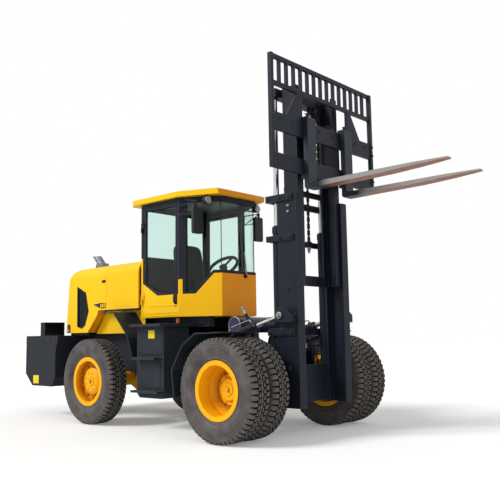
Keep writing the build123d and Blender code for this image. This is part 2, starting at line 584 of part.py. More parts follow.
REAR_PITCH = 44.0
REAR_POSTS = 4
grille_low_z, grille_top_z = REAR_GRILLE_Z
low_x, top_x = rear_face_x(grille_low_z), rear_face_x(grille_top_z)
post_form = (
    (low_x + 4, grille_low_z), (low_x + 19, grille_low_z),
    (top_x + 19, grille_top_z), (top_x + 4, grille_top_z),
)
rear_bars = []
for i in range(REAR_POSTS):
    y = (REAR_GRILLE_HALF_W - 8) * (2 * i / (REAR_POSTS - 1) - 1)
    rear_bars.append(prism_xz(post_form, y - 8, y + 8))
for i in range(int((grille_top_z - grille_low_z) / REAR_PITCH)):
    z = grille_low_z + 14 + i * REAR_PITCH
    x = rear_face_x(z)
    rear_bars.append(box(x + 6, x + 18, -REAR_GRILLE_HALF_W, REAR_GRILLE_HALF_W, z, z + 16))
save("hood_grilles", both(side_grille) + [fuse(rear_bars)])

# Exhaust tail: boot on the hood and a pipe leaning to the rear
EXHAUST_X = HOOD_REAR_X + 500
boot = (
    (EXHAUST_X - 120, HOOD_TOP_Z - 60), (EXHAUST_X + 120, HOOD_TOP_Z - 60),
    (EXHAUST_X + 50, HOOD_TOP_Z + 58), (EXHAUST_X - 70, HOOD_TOP_Z + 58),
)
pipe_foot = (EXHAUST_X + 20, EXHAUST_Y, HOOD_TOP_Z)
pipe_end = (EXHAUST_X - 145, EXHAUST_Y, HOOD_TOP_Z + 175)
tail = prism_xz(boot, EXHAUST_Y - EXHAUST_R, EXHAUST_Y + EXHAUST_R)
tail = fillet(tail.edges().filter_by(Axis.Y).group_by(Axis.Z)[-1], 25)
tail = fuse([tail, rod(pipe_foot, pipe_end, EXHAUST_R - 2)])
bore_end = tuple(b + 0.2 * (b - a) for a, b in zip(pipe_foot, pipe_end))
tail -= rod(tuple(a + 0.5 * (b - a) for a, b in zip(pipe_foot, pipe_end)), bore_end, EXHAUST_R - 9)
tail -= box(EXHAUST_X - 300, EXHAUST_X + 300, EXHAUST_Y - 200, EXHAUST_Y + 200,
            HOOD_TOP_Z + 160, HOOD_TOP_Z + 400)
tail -= skin
save("exhaust_tail", [tail.solids().sort_by(SortBy.VOLUME)[-1]])

# Rear fenders: folded plate, wheel arch liner and the shelf under the cowl
FENDER_REACH_Y = REAR_TYRE_Y - 40
REAR_FENDER_PATH = (
    (REAR_X + 21, TYRE_TOP_Z + 310), (REAR_X + 306, TYRE_TOP_Z + 308), (REAR_X + 548, TYRE_TOP_Z + 59),
    (REAR_X + 590, TYRE_TOP_Z), (REAR_X + TYRE_R + 171, AXLE_Z + 279),
)
LINER = (
    (REAR_X - 514, FRAME_TOP_Z), (REAR_X - 304, ARCH_TOP_Z), (HOOD_FRONT_X - 15, ARCH_TOP_Z),
    (HOOD_FRONT_X - 15, FRAME_TOP_Z),
)
liner_in_y = FENDER_SEAT_Y - 12
shelf = box(
    HOOD_SEAM_X + 5, HOOD_FRONT_X - 15, -HOOD_HALF_W, -liner_in_y, ARCH_TOP_Z - 12, ARCH_TOP_Z
)
rear_fender = bent_plate(REAR_FENDER_PATH, FENDER_T, -FENDER_REACH_Y, -FENDER_SEAT_Y)
liner = prism_xz(LINER, -FENDER_SEAT_Y, -liner_in_y)
save("rear_fenders", both(fuse([rear_fender, liner, shelf])))

# Side tanks under a deck plate, with two steps
TANK_REAR_X = REAR_X + TYRE_R + 265
TANK_FRONT_X = PIVOT_X + 50
TANK_LOW_Z = LUG_LOW_Z - 45
TANK_TOP_Z = CAB_FLOOR_Z - 110
TANK_OUT_Y = 800.0
TANK_IN_Y = 420.0
STEP_OUT_Y = TANK_OUT_Y + 105
TANK_SIDE = (
    (TANK_REAR_X, TANK_LOW_Z + 50), (TANK_REAR_X + 50, TANK_LOW_Z), (TANK_FRONT_X - 40, TANK_LOW_Z),
    (TANK_FRONT_X, TANK_LOW_Z + 50), (TANK_FRONT_X, TANK_TOP_Z), (TANK_REAR_X, TANK_TOP_Z),
)
STEPS = (
    # underside, rear end, front end
    (TANK_TOP_Z - 370, TANK_REAR_X + 30, TANK_FRONT_X - 50),
    (TANK_LOW_Z + 62, TANK_REAR_X + 10, TANK_FRONT_X),
)
STEP_T = 25.0
tank_parts = [
    prism_xz(TANK_SIDE, -TANK_OUT_Y, -TANK_IN_Y),
    box(TANK_REAR_X - 20, TANK_FRONT_X + 50, 5 - STEP_OUT_Y, -FRAME_OUT_Y, TANK_TOP_Z, TANK_TOP_Z + 30),
]
for z0, x0, x1 in STEPS:
    tank_parts.append(box(x0, x1, -STEP_OUT_Y, 10 - TANK_OUT_Y, z0, z0 + STEP_T))
save("side_tanks", both(fuse(tank_parts)))

# Cab shell: plan with clipped front corners, hollow, with doorways and windows cut
SILL_Z = CAB_FLOOR_Z + SILL_H
COWL_Z = CAB_FLOOR_Z + COWL_H
REAR_SILL_Z = CAB_FLOOR_Z + REAR_SILL_H
B_FOOT_Z = SILL_Z + 170
WINDOW_TOP_Z = CAB_TOP_Z - 60
CAB_PLAN = (
    (CAB_REAR_X, -CAB_HALF_W), (CAB_B_X, -CAB_HALF_W), (CAB_FRONT_X, -CAB_NOSE_HALF_W),
    (CAB_FRONT_X, CAB_NOSE_HALF_W), (CAB_B_X, CAB_HALF_W), (CAB_REAR_X, CAB_HALF_W),
)
DOOR_REAR_X = CAB_REAR_X + 35
DOOR_FRONT_X = CAB_B_X - 20
DOOR_LOW_Z = CAB_FLOOR_Z + 15
DOOR_TOP_Z = CAB_TOP_Z - 45
floor_face = make_face(Polyline(*[(x, y, CAB_FLOOR_Z + CAB_WALL) for x, y in CAB_PLAN], close=True))
room = extrude(offset(floor_face, -CAB_WALL, kind=Kind.INTERSECTION), amount=CAB_H, dir=(0, 0, 1))
doorway = box(
    DOOR_REAR_X - DOOR_GAP, DOOR_FRONT_X + DOOR_GAP, -WIDE, WIDE,
    DOOR_LOW_Z - DOOR_GAP, DOOR_TOP_Z + DOOR_GAP,
)
threshold_y = CAB_HALF_W - CAB_WALL - 5
doorway -= box(CAB_REAR_X, CAB_FRONT_X, -threshold_y, threshold_y, 0, CAB_FLOOR_Z + CAB_WALL)
shell = prism_xy(CAB_PLAN, CAB_FLOOR_Z, CAB_TOP_Z) - room - doorway
QUARTER_LOW_X = CAB_B_X + 170
QUARTER_TOP_X = CAB_FRONT_X - 80
BODY_SIDE = (
    (CAB_REAR_X - PAST, CAB_FLOOR_Z - PAST), (CAB_FRONT_X + PAST, CAB_FLOOR_Z - PAST),
    (CAB_FRONT_X + PAST, COWL_Z), (QUARTER_TOP_X, COWL_Z), (QUARTER_LOW_X, SILL_Z),
    (CAB_B_X + 35, SILL_Z),
    (CAB_B_X + 35, B_FOOT_Z), (CAB_REAR_X + 45, B_FOOT_Z), (CAB_REAR_X + 45, REAR_SILL_Z),
    (CAB_REAR_X - PAST, REAR_SILL_Z),
)
body_zone = prism_xz(BODY_SIDE, -WIDE, WIDE)
QUARTER_WINDOW = (
    (CAB_B_X + 60, SILL_Z + 28), (QUARTER_LOW_X - 10, SILL_Z + 28), (QUARTER_TOP_X - 12, COWL_Z + 28),
    (CAB_FRONT_X + PAST, COWL_Z + 28), (CAB_FRONT_X + PAST, WINDOW_TOP_Z), (CAB_B_X + 60, WINDOW_TOP_Z),
)
quarter_hole = prism_xz(QUARTER_WINDOW, -WIDE, 50 - CAB_NOSE_HALF_W)
rear_half_w = CAB_HALF_W - 60
windows = both(quarter_hole) + [
    box(CAB_FRONT_X - 60, CAB_FRONT_X + PAST, -CAB_NOSE_HALF_W, CAB_NOSE_HALF_W, COWL_Z + 28, WINDOW_TOP_Z),
    box(CAB_REAR_X - PAST, CAB_REAR_X + 60, -rear_half_w, rear_half_w, REAR_SILL_Z + 15, WINDOW_TOP_Z),
]
body = shell & body_zone
upper = shell - body_zone
for hole in windows:
    upper -= hole
ring_lid = prism_xy(CAB_PLAN, CAB_TOP_Z - 12, CAB_TOP_Z)

# Doors: lower panel, window frame and pane on two knuckle hinges
DOOR_HINGE_X = DOOR_REAR_X - 8
DOOR_HINGE_Y = CAB_HALF_W + 14
DOOR_OUT_Y = CAB_HALF_W - 2
DOOR_IN_Y = CAB_HALF_W - CAB_WALL + 2
DIAGONAL_X = DOOR_REAR_X + 265
DIAGONAL_Z = SILL_Z + 155
KNUCKLE_H = 60.0
HINGE_LOW_Z = SILL_Z - 100
HINGE_HIGH_Z = DOOR_TOP_Z - 305
DOOR_PANEL = (
    (DOOR_REAR_X, DOOR_LOW_Z), (DOOR_FRONT_X, DOOR_LOW_Z), (DOOR_FRONT_X, SILL_Z), (DIAGONAL_X, SILL_Z),
    (DOOR_REAR_X, DIAGONAL_Z),
)
DOOR_FRAME = (
    (DOOR_FRONT_X, SILL_Z), (DOOR_FRONT_X, DOOR_TOP_Z), (DOOR_REAR_X, DOOR_TOP_Z),
    (DOOR_REAR_X, DIAGONAL_Z), (DIAGONAL_X, SILL_Z),
)
DOOR_WINDOW = (
    (DOOR_FRONT_X - 40, SILL_Z + 25), (DOOR_FRONT_X - 40, DOOR_TOP_Z - 45),
    (DOOR_REAR_X + 45, DOOR_TOP_Z - 45), (DOOR_REAR_X + 45, DIAGONAL_Z + 5),
    (DIAGONAL_X + 15, SILL_Z + 25),
)
pane_out_y = DOOR_OUT_Y - PANE_IN + 2
low_hinges = []
high_hinges = []
for side, sign in SIDES:
    hinge_y, out_y = sign * DOOR_HINGE_Y, sign * DOOR_OUT_Y
    leaves = []
    for z0, fixed in ((HINGE_LOW_Z, low_hinges), (HINGE_HIGH_Z, high_hinges)):
        z1 = z0 + KNUCKLE_H
        fixed.append(pin_z(DOOR_HINGE_X, hinge_y, z0, z1, DOOR_HINGE_R))
        fixed.append(box(CAB_REAR_X + 5, DOOR_HINGE_X, sign * (CAB_HALF_W - 5), hinge_y, z0, z1))
        z2, z3 = z1 + PIN_GAP, z1 + KNUCKLE_H
        knuckle = pin_z(DOOR_HINGE_X, hinge_y, z2, z3, DOOR_HINGE_R)
        arm = box(DOOR_HINGE_X, DOOR_REAR_X + 25, sign * (CAB_HALF_W + 2), hinge_y, z2, z3)
        foot = box(DOOR_REAR_X + 4, DOOR_REAR_X + 25, out_y - sign * 6, hinge_y, z2, z3)
        leaves.append(fuse([knuckle, arm, foot]))
    panel = prism_xz(DOOR_PANEL, sign * DOOR_IN_Y, out_y)
    hollow = prism_xz(DOOR_WINDOW, 0, sign * WIDE)
    frame = prism_xz(DOOR_FRAME, sign * DOOR_IN_Y, out_y) - hollow
    save(f"door_{side}_panel", [fuse([panel, leaves[0]])])
    save(f"door_{side}_frame", [fuse([frame, leaves[1]])])
    save(f"door_{side}_glass", [prism_xz(DOOR_WINDOW, sign * (pane_out_y - PANE_T), sign * pane_out_y)])
save("cab_body", [fuse([body] + low_hinges)])
save("cab_frame", [fuse([upper, ring_lid] + high_hinges)])

# Fixed panes, set in the thickness of the pillars
corner_run = Vector(CAB_NOSE_LEN, CAB_HALF_W - CAB_NOSE_HALF_W).normalized()
corner_in = Vector(-corner_run.Y, corner_run.X)
corner_a = Vector(CAB_B_X, -CAB_HALF_W) - corner_run * CAB_WALL
corner_b = Vector(CAB_FRONT_X, -CAB_NOSE_HALF_W) + corner_run * CAB_WALL
slab_points = []
for corner, depth in ((corner_a, PANE_IN), (corner_b, PANE_IN), (corner_b, PANE_IN + PANE_T),
                      (corner_a, PANE_IN + PANE_T)):
    point = corner + corner_in * depth
    slab_points.append((point.X, point.Y))
front_pane_x = CAB_FRONT_X - PANE_IN
corner_end = box(CAB_REAR_X, front_pane_x, -WIDE, WIDE, CAB_FLOOR_Z, CAB_TOP_Z)
quarter_pane = prism_xy(slab_points, CAB_FLOOR_Z, CAB_TOP_Z) & quarter_hole & corner_end
corner_slope = (CAB_HALF_W - CAB_NOSE_HALF_W) / CAB_NOSE_LEN
corner_skew = (1 + corner_slope ** 2) ** 0.5
front_half_w = CAB_NOSE_HALF_W + PANE_IN * corner_slope - (PANE_IN + PANE_T) * corner_skew - 0.5
rear_pane_x = CAB_REAR_X + PANE_IN
front_pane = box(
    front_pane_x - PANE_T, front_pane_x, -front_half_w, front_half_w, COWL_Z + 28, WINDOW_TOP_Z
)
rear_pane = box(
    rear_pane_x, rear_pane_x + PANE_T, -rear_half_w, rear_half_w, REAR_SILL_Z + 15, WINDOW_TOP_Z
)
save("cab_glass", [front_pane, rear_pane] + both(quarter_pane))

# Roof: slab with clipped front corners and a low crown
roof_half_w = CAB_HALF_W + ROOF_SIDE
roof_nose_w = CAB_NOSE_HALF_W + 2 * ROOF_SIDE
roof_front_x = CAB_FRONT_X + ROOF_FRONT
roof_rear_x = CAB_REAR_X - ROOF_REAR
ROOF_PLAN = (
    (roof_rear_x, 65 - roof_half_w), (roof_rear_x + 80, -roof_half_w), (CAB_B_X + 10, -roof_half_w),
    (roof_front_x, -roof_nose_w), (roof_front_x, roof_nose_w), (CAB_B_X + 10, roof_half_w),
    (roof_rear_x + 80, roof_half_w), (roof_rear_x, roof_half_w - 65),
)
roof_edge_z = CAB_TOP_Z + ROOF_EDGE
crown_face = make_face(Polyline(*[(x, y, roof_edge_z) for x, y in ROOF_PLAN], close=True))
crown = extrude(crown_face, amount=ROOF_CROWN, dir=(0, 0, 1), taper=75)
save("cab_roof", [fuse([prism_xy(ROOF_PLAN, CAB_TOP_Z, roof_edge_z), crown])])

# Inside the cab: seat, steering column with its wheel, lever console
ROOM_Z = CAB_FLOOR_Z + CAB_WALL
seat_x = CAB_REAR_X + 250
seat_z = ROOM_Z + 290
BACK_FORM = (
    (seat_x, seat_z), (seat_x + 110, seat_z), (seat_x + 20, seat_z + 590), (seat_x - 70, seat_z + 590),
)
seat = fuse([
    box(seat_x + 40, seat_x + 300, -170, 170, ROOM_Z, seat_z - 110),
    box(seat_x, seat_x + 470, -250, 250, seat_z - 110, seat_z),
    prism_xz(BACK_FORM, -230, 230),
])
save("cab_seat", [seat])
post_x = CAB_FRONT_X - 160
column_foot = Vector(post_x + 18, 0, ROOM_Z + 368)
column_head = Vector(post_x - 105, 0, ROOM_Z + 550)
wheel_plane = Plane(origin=column_head, z_dir=column_head - column_foot)
wheel = wheel_plane * (Cylinder(200, 28) - Cylinder(172, 28))
wheel += wheel_plane * Box(360, 26, 14)
wheel += wheel_plane * Cylinder(45, 40)
column = fuse([
    box(post_x, post_x + 80, -190, 190, ROOM_Z, ROOM_Z + 390),
    rod(tuple(column_foot), tuple(column_head), 32),
    wheel,
])
console_y = CAB_HALF_W - 210
levers = [rod((x, -console_y, ROOM_Z + 100), (x + 45, -console_y, ROOM_Z + 400), 14)
          for x in (CAB_B_X - 30, CAB_B_X + 60)]
console = box(CAB_B_X - 100, CAB_B_X + 120, -console_y - 60, 60 - console_y, ROOM_Z, ROOM_Z + 260)
save("cab_controls", [column, fuse([console] + levers)])

# Mirrors on arms from the quarter rails
MIRROR_HALF_W = 72.0
MIRROR_H = 305.0
MIRROR_ARM_R = 9.0
quarter_slope = (CAB_HALF_W - CAB_NOSE_HALF_W) / CAB_NOSE_LEN
arm_x = CAB_B_X + 100
arm_y = CAB_HALF_W - 100 * quarter_slope
mirror_x = CAB_B_X + 280
mirror_y = CAB_HALF_W - 25
mirror_top_z = CAB_TOP_Z - 150
ARM_PATH = (
    (arm_x, 5 - arm_y, CAB_TOP_Z - 40), (arm_x + 60, -arm_y - 100, CAB_TOP_Z - 55),
    (mirror_x, -mirror_y - 10, CAB_TOP_Z - 80), (mirror_x, -mirror_y, mirror_top_z - 20),
)
mirror_parts = [rod(a, b, MIRROR_ARM_R) for a, b in zip(ARM_PATH, ARM_PATH[1:])]
mirror_parts += [Pos(*point) * Sphere(MIRROR_ARM_R) for point in ARM_PATH[1:3]]
glass_case = box(
    mirror_x - 18, mirror_x + 18, -mirror_y - MIRROR_HALF_W, MIRROR_HALF_W - mirror_y,
    mirror_top_z - MIRROR_H, mirror_top_z,
)
mirror_parts.append(fillet(glass_case.edges().filter_by(Axis.X), 22))
near_mirror = fuse(mirror_parts) - prism_xy(CAB_PLAN, CAB_FLOOR_Z, CAB_TOP_Z)
save("mirrors", both(near_mirror))

# Work lamps under the roof's front corners and marker lamps on the decks
LAMP_R = 44.0
lamp_x = CAB_FRONT_X - 110
lamp_y = roof_nose_w + 25
lamp_z = CAB_TOP_Z - 62
lamp = fuse([
    rod((lamp_x - 25, -lamp_y, lamp_z), (lamp_x + 35, -lamp_y, lamp_z), LAMP_R),
    box(lamp_x - 12, lamp_x + 12, -lamp_y - 12, 12 - lamp_y, lamp_z, CAB_TOP_Z),
])
marker_x = CAB_B_X - 25
marker = box(marker_x, marker_x + 34, -CAB_HALF_W - 25, 5 - CAB_HALF_W, TANK_TOP_Z + 30, CAB_FLOOR_Z - 18)
save("work_lamps", both(lamp) + both(marker))

# Outer mast: channels, cross beams with side straps, foot bearings and tilt lugs
BEAM_BACK_X = MAST_REAR_X - 140
BEAM_T = 30.0
STRAP_Y = MAST_HALF_W + 22
CHAIN_BEAM_Z = MAST_TOP_Z - 470
BEAMS = (
    # underside, height
    (MAST_BOTTOM_Z + 720, 70.0),
    (CHAIN_BEAM_Z, 60.0),
    (MAST_TOP_Z - 55, 70.0),
)
FOOT_IN_Y = MAST_HALF_W - 70
FOOT_OUT_Y = MAST_HALF_W - 20
FOOT_R = 62.0
LIFT_SEAT_Z = TILT_Z + 130
LUG_IN_Y = TILT_CYL_Y - EYE_HALF_W - 8
LUG_OUT_Y = TILT_CYL_Y + EYE_HALF_W + 8
LUG_FORM = (
    (TILT_EYE_X - 65, TILT_EYE_Z - 70), (TILT_EYE_X + 135, TILT_EYE_Z - 70),
    (TILT_EYE_X + 135, TILT_EYE_Z + 10), (TILT_EYE_X + 65, TILT_EYE_Z + 80),
    (TILT_EYE_X - 45, TILT_EYE_Z + 80), (TILT_EYE_X - 65, TILT_EYE_Z + 50),
)
foot_span_y = MAST_HALF_W - MAST_FLANGE_W + 5
foot_low_z, foot_top_z = MAST_BOTTOM_Z + 20, MAST_BOTTOM_Z + 410
mast_parts = [box(MAST_REAR_X - 25, MAST_REAR_X, -foot_span_y, foot_span_y, foot_low_z, foot_top_z)]
for z0, height in BEAMS:
    mast_parts.append(box(BEAM_BACK_X, BEAM_BACK_X + BEAM_T, -MAST_HALF_W, MAST_HALF_W, z0, z0 + height))
for sign in (-1, 1):
    out_y, lip_y = sign * MAST_HALF_W, sign * (MAST_HALF_W - MAST_FLANGE_W)
    web_y, strap_y = sign * (MAST_HALF_W - MAST_WEB), sign * STRAP_Y
    mast_parts.append(box(MAST_REAR_X, MAST_FRONT_X, out_y, web_y, MAST_BOTTOM_Z, MAST_TOP_Z))
    for x in (MAST_REAR_X, MAST_FRONT_X - MAST_FLANGE):
        mast_parts.append(box(x, x + MAST_FLANGE, out_y, lip_y, MAST_BOTTOM_Z, MAST_TOP_Z))
    for z0, height in BEAMS:
        mast_parts.append(box(BEAM_BACK_X, MAST_FRONT_X - 40, out_y, strap_y, z0, z0 + height))
        mast_parts.append(box(BEAM_BACK_X, MAST_REAR_X, out_y - sign * 8, out_y, z0, z0 + height))
    foot = pin_y(TILT_X, TILT_Z, sign * FOOT_IN_Y, sign * FOOT_OUT_Y, FOOT_R)
    foot += box(TILT_X, MAST_REAR_X, sign * FOOT_IN_Y, sign * FOOT_OUT_Y, TILT_Z - FOOT_R, TILT_Z + FOOT_R)
    mast_parts.append(foot - pin_y(TILT_X, TILT_Z, 0, sign * WIDE, TILT_PIN_R + PIN_GAP))
    mast_parts.append(
        box(LIFT_X - 55, MAST_REAR_X, lip_y, out_y - sign * 5, LIFT_SEAT_Z - 25, LIFT_SEAT_Z)
    )
    cheek_y = sign * (LUG_OUT_Y + 18)
    mast_parts += [
        prism_xz(LUG_FORM, out_y, sign * LUG_IN_Y),
        prism_xz(LUG_FORM, sign * LUG_OUT_Y, cheek_y),
        box(TILT_EYE_X + 85, TILT_EYE_X + 135, out_y, cheek_y, TILT_EYE_Z - 70, TILT_EYE_Z + 10),
        pin_y(TILT_EYE_X, TILT_EYE_Z, sign * LUG_OUT_Y, cheek_y + sign * 12, 34),
        box(BEAM_BACK_X + BEAM_T, BEAM_BACK_X + 80, sign * CHAIN_Y - 30, sign * CHAIN_Y + 30,
            CHAIN_BEAM_Z, CHAIN_BEAM_Z + 60),
    ]
save("outer_mast", [fuse(mast_parts)])

# Lift cylinders: barrels on the outer mast, rods up to the inner mast's head
barrel_top_z = MAST_TOP_Z - 315
head_z = INNER_TOP_Z - 90
barrels = []
rods = []
for sign in (-1, 1):
    barrel = pin_z(LIFT_X, sign * LIFT_Y, LIFT_SEAT_Z, barrel_top_z, LIFT_BARREL_R)
    barrel += pin_z(LIFT_X, sign * LIFT_Y, barrel_top_z - 60, barrel_top_z, LIFT_BARREL_R + 5)
    bore = pin_z(LIFT_X, sign * LIFT_Y, LIFT_SEAT_Z + 10, barrel_top_z + PAST, LIFT_ROD_R + PIN_GAP)
    barrels.append(barrel - bore)
    rods.append(pin_z(LIFT_X, sign * LIFT_Y, head_z - STAGE_LIFT - 505, head_z, LIFT_ROD_R))
save("lift_barrels", barrels)
save("lift_rods", rods)

# Inner mast: channels running on rollers, cross beams and the head with its chain wheels
ROLLER_GAP = 0.6
roller_r = MAST_DEPTH / 2 - MAST_FLANGE - ROLLER_GAP
roller_z = INNER_BOTTOM_Z + 110
INNER_BEAMS = (
    # underside, height
    (INNER_BOTTOM_Z, 110.0),
    (INNER_BOTTOM_Z + 970, 60.0),
    (head_z, 90.0),
)
inner_span_y = INNER_OUT_Y - 28
inner_parts = [
    box(LIFT_X - 45, MAST_REAR_X - 6, -LIFT_Y - 42, LIFT_Y + 42, head_z, INNER_TOP_Z),
    box(MAST_REAR_X - 10, PULLEY_X + 10, -inner_span_y, inner_span_y, head_z, INNER_TOP_Z),
]
for z0, height in INNER_BEAMS:
    inner_parts.append(box(PULLEY_X + 6, INNER_REAR_X, -inner_span_y, inner_span_y, z0, z0 + height))
for sign in (-1, 1):
    out_y, in_y, web_y = sign * INNER_OUT_Y, sign * INNER_IN_Y, sign * (INNER_OUT_Y - INNER_WEB)
    roller_y = sign * (MAST_HALF_W - MAST_WEB - 6)
    inner_parts.append(box(INNER_REAR_X, INNER_FRONT_X, out_y, web_y, INNER_BOTTOM_Z, INNER_TOP_Z))
    for x in (INNER_REAR_X, INNER_FRONT_X - INNER_FLANGE):
        inner_parts.append(box(x, x + INNER_FLANGE, out_y, in_y, INNER_BOTTOM_Z, INNER_TOP_Z))
    inner_parts.append(pin_y(STAGE_MID_X, roller_z, web_y, roller_y, 30))
    inner_parts.append(pin_y(STAGE_MID_X, roller_z, out_y + sign * 10, roller_y, roller_r))
    for y in (CHAIN_Y - CHAIN_HALF_W - 22, CHAIN_Y + CHAIN_HALF_W + 10):
        inner_parts.append(
            box(PULLEY_X - 28, PULLEY_X + 28, sign * y, sign * (y + 12), PULLEY_Z - 35, head_z)
        )
    wheel_y, axle_y = CHAIN_HALF_W + 5, CHAIN_HALF_W + 22
    for half_w, radius in ((axle_y, 20), (wheel_y, PULLEY_R)):
        y0, y1 = sign * (CHAIN_Y - half_w), sign * (CHAIN_Y + half_w)
        inner_parts.append(pin_y(PULLEY_X, PULLEY_Z, y0, y1, radius))
save("inner_mast", [fuse(inner_parts)])

# Lift chains: leaves laced in three columns, from the outer mast over the wheel to the carriage
LEAF_WAIST = 0.55
LEAF_COLUMNS = (
    # inner edge, outer edge, phase in pitches
    (-CHAIN_HALF_W, -CHAIN_HALF_W / 3, 0.0),
    (-CHAIN_HALF_W / 3, CHAIN_HALF_W / 3, 0.5),
    (CHAIN_HALF_W / 3, CHAIN_HALF_W, 0.0),
)
chain_in_r = PULLEY_R + 0.5
chain_mid_r = chain_in_r + CHAIN_T / 2


def leaf_run(x, y, z0, z1):
    pitches = max(2, round((z1 - z0) / CHAIN_PITCH))
    pitch = (z1 - z0) / pitches
    columns = []
    for y0, y1, phase in LEAF_COLUMNS:
        edge = [(CHAIN_T / 2, z0)]
        for i in range(pitches):
            waist_z = z0 + (i + 0.5 + 0.8 * (phase - 0.25)) * pitch
            edge += [
                (CHAIN_T / 2, waist_z - 6), (LEAF_WAIST * CHAIN_T / 2, waist_z), (CHAIN_T / 2, waist_z + 6),
            ]
        edge.append((CHAIN_T / 2, z1))
        outline = [(x + dx, z) for dx, z in edge] + [(x - dx, z) for dx, z in reversed(edge)]
        columns.append(prism_xz(outline, y + y0, y + y1))
    return fuse(columns)


ANCHOR_TOP_Z = LOW_BAR_Z + 135
rear_runs = []
front_runs = []
for sign in (-1, 1):
    y = sign * CHAIN_Y
    y0, y1 = y - CHAIN_HALF_W, y + CHAIN_HALF_W
    rear_runs.append(leaf_run(PULLEY_X - chain_mid_r, y, CHAIN_BEAM_Z + 60, PULLEY_Z - 0.5))
    wrap = pin_y(PULLEY_X, PULLEY_Z, y0, y1, chain_in_r + CHAIN_T)
    wrap -= pin_y(PULLEY_X, PULLEY_Z, y0 - PAST, y1 + PAST, chain_in_r)
    wrap &= box(PULLEY_X - 200, PULLEY_X + 200, y0, y1, PULLEY_Z, PULLEY_Z + 200)
    front_runs.append(fuse([wrap, leaf_run(PULLEY_X + chain_mid_r, y, ANCHOR_TOP_Z, PULLEY_Z)]))
save("lift_chains_rear", rear_runs)
save("lift_chains_front", front_runs)

# Fork carriage: cheeks with rollers in the inner mast, two fork bars, chain anchor bar
CHEEK_OUT_Y = INNER_IN_Y - 8
CHEEK_T = 30.0
CHEEK_LAP = 15.0
CARRIAGE_ROLLERS = (LOW_BAR_Z + 105, LOW_BAR_Z + 585)
carriage_roller_r = (INNER_FRONT_X - INNER_REAR_X) / 2 - INNER_FLANGE - ROLLER_GAP
post_y = CARRIAGE_HALF_W - POST_W
CHEEK = (
    (INNER_REAR_X + 27, LOW_BAR_Z + 25), (CARRIAGE_X + CHEEK_LAP, LOW_BAR_Z),
    (CARRIAGE_X + CHEEK_LAP, BAR_TOP_Z - 30),
    (INNER_FRONT_X - 27, CARRIAGE_ROLLERS[1] + 100), (INNER_REAR_X + 27, CARRIAGE_ROLLERS[1] + 100),
)
carriage_parts = [
    box(CARRIAGE_X, CARRIAGE_FRONT_X, -post_y, post_y, LOW_BAR_Z, LOW_BAR_Z + LOW_BAR_H),
    box(CARRIAGE_X, CARRIAGE_FRONT_X, -post_y, post_y, HIGH_BAR_Z, BAR_TOP_Z),
    box(INNER_REAR_X + 29, INNER_REAR_X + 57, 10 - CHEEK_OUT_Y, CHEEK_OUT_Y - 10, LOW_BAR_Z + 45,
        ANCHOR_TOP_Z - 0.5),
]
for sign in (-1, 1):
    cheek_out, cheek_in = sign * CHEEK_OUT_Y, sign * (CHEEK_OUT_Y - CHEEK_T)
    carriage_parts.append(prism_xz(CHEEK, cheek_in, cheek_out))
    roller_y = sign * (INNER_OUT_Y - INNER_WEB - 8)
    for z in CARRIAGE_ROLLERS:
        carriage_parts.append(pin_y(STAGE_MID_X, z, cheek_in, roller_y, 28))
        carriage_parts.append(pin_y(STAGE_MID_X, z, cheek_out + sign * 20, roller_y, carriage_roller_r))
save("fork_carriage", [fuse(carriage_parts)])

# Load backrest: posts, rails, grille bars and braces
mid_rail_z = BACKREST_TOP_Z - GRILLE_H
backrest = [
    box(CARRIAGE_X, CARRIAGE_FRONT_X, -post_y, post_y, mid_rail_z, mid_rail_z + RAIL_H),
    box(CARRIAGE_X, CARRIAGE_FRONT_X, -post_y, post_y, BACKREST_TOP_Z - RAIL_H, BACKREST_TOP_Z),
]
for i in range(1, GRILLE_BARS):
    y = -post_y + 2 * post_y * i / GRILLE_BARS
    backrest.append(
        box(CARRIAGE_X, CARRIAGE_FRONT_X - 5, y - GRILLE_BAR_W / 2, y + GRILLE_BAR_W / 2, mid_rail_z,
            BACKREST_TOP_Z - 10)
    )
for sign in (-1, 1):
    brace = (
        (sign * 400, BAR_TOP_Z), (sign * 660, BAR_TOP_Z), (sign * 480, mid_rail_z),
        (sign * 400, mid_rail_z),
    )
    backrest.append(prism_yz(brace, CARRIAGE_X + 5, CARRIAGE_FRONT_X - 5))
    post_in, post_out = sign * post_y, sign * CARRIAGE_HALF_W
    backrest.append(box(CARRIAGE_X, CARRIAGE_FRONT_X + 10, post_in, post_out, LOW_BAR_Z, BACKREST_TOP_Z))
save("load_backrest", [fuse(backrest)])

# Forks: shank with hooks on the bars and a tapered blade with clipped tip
TIP_T = 14.0
TIP_LEN = 325.0
SHANK_FRONT_X = CARRIAGE_FRONT_X + FORK_T
blade_top_z = FORK_HEEL_Z + FORK_T
hook_top_z = BAR_TOP_Z + 40
FORK_OUTLINE = (
    (CARRIAGE_FRONT_X, FORK_HEEL_Z + 20), (CARRIAGE_FRONT_X + 20, FORK_HEEL_Z),
    (CARRIAGE_FRONT_X + 0.6 * FORK_LEN, FORK_HEEL_Z + 14), (FORK_TIP_X, blade_top_z - TIP_T),
    (FORK_TIP_X, blade_top_z), (SHANK_FRONT_X, blade_top_z), (SHANK_FRONT_X, hook_top_z - 20),
    (SHANK_FRONT_X - 20, hook_top_z), (CARRIAGE_X, hook_top_z), (CARRIAGE_X, BAR_TOP_Z),
    (CARRIAGE_FRONT_X, BAR_TOP_Z), (CARRIAGE_FRONT_X, LOW_BAR_Z), (CARRIAGE_X, LOW_BAR_Z),
    (CARRIAGE_X, LOW_BAR_Z - 40), (CARRIAGE_FRONT_X, LOW_BAR_Z - 40),
)
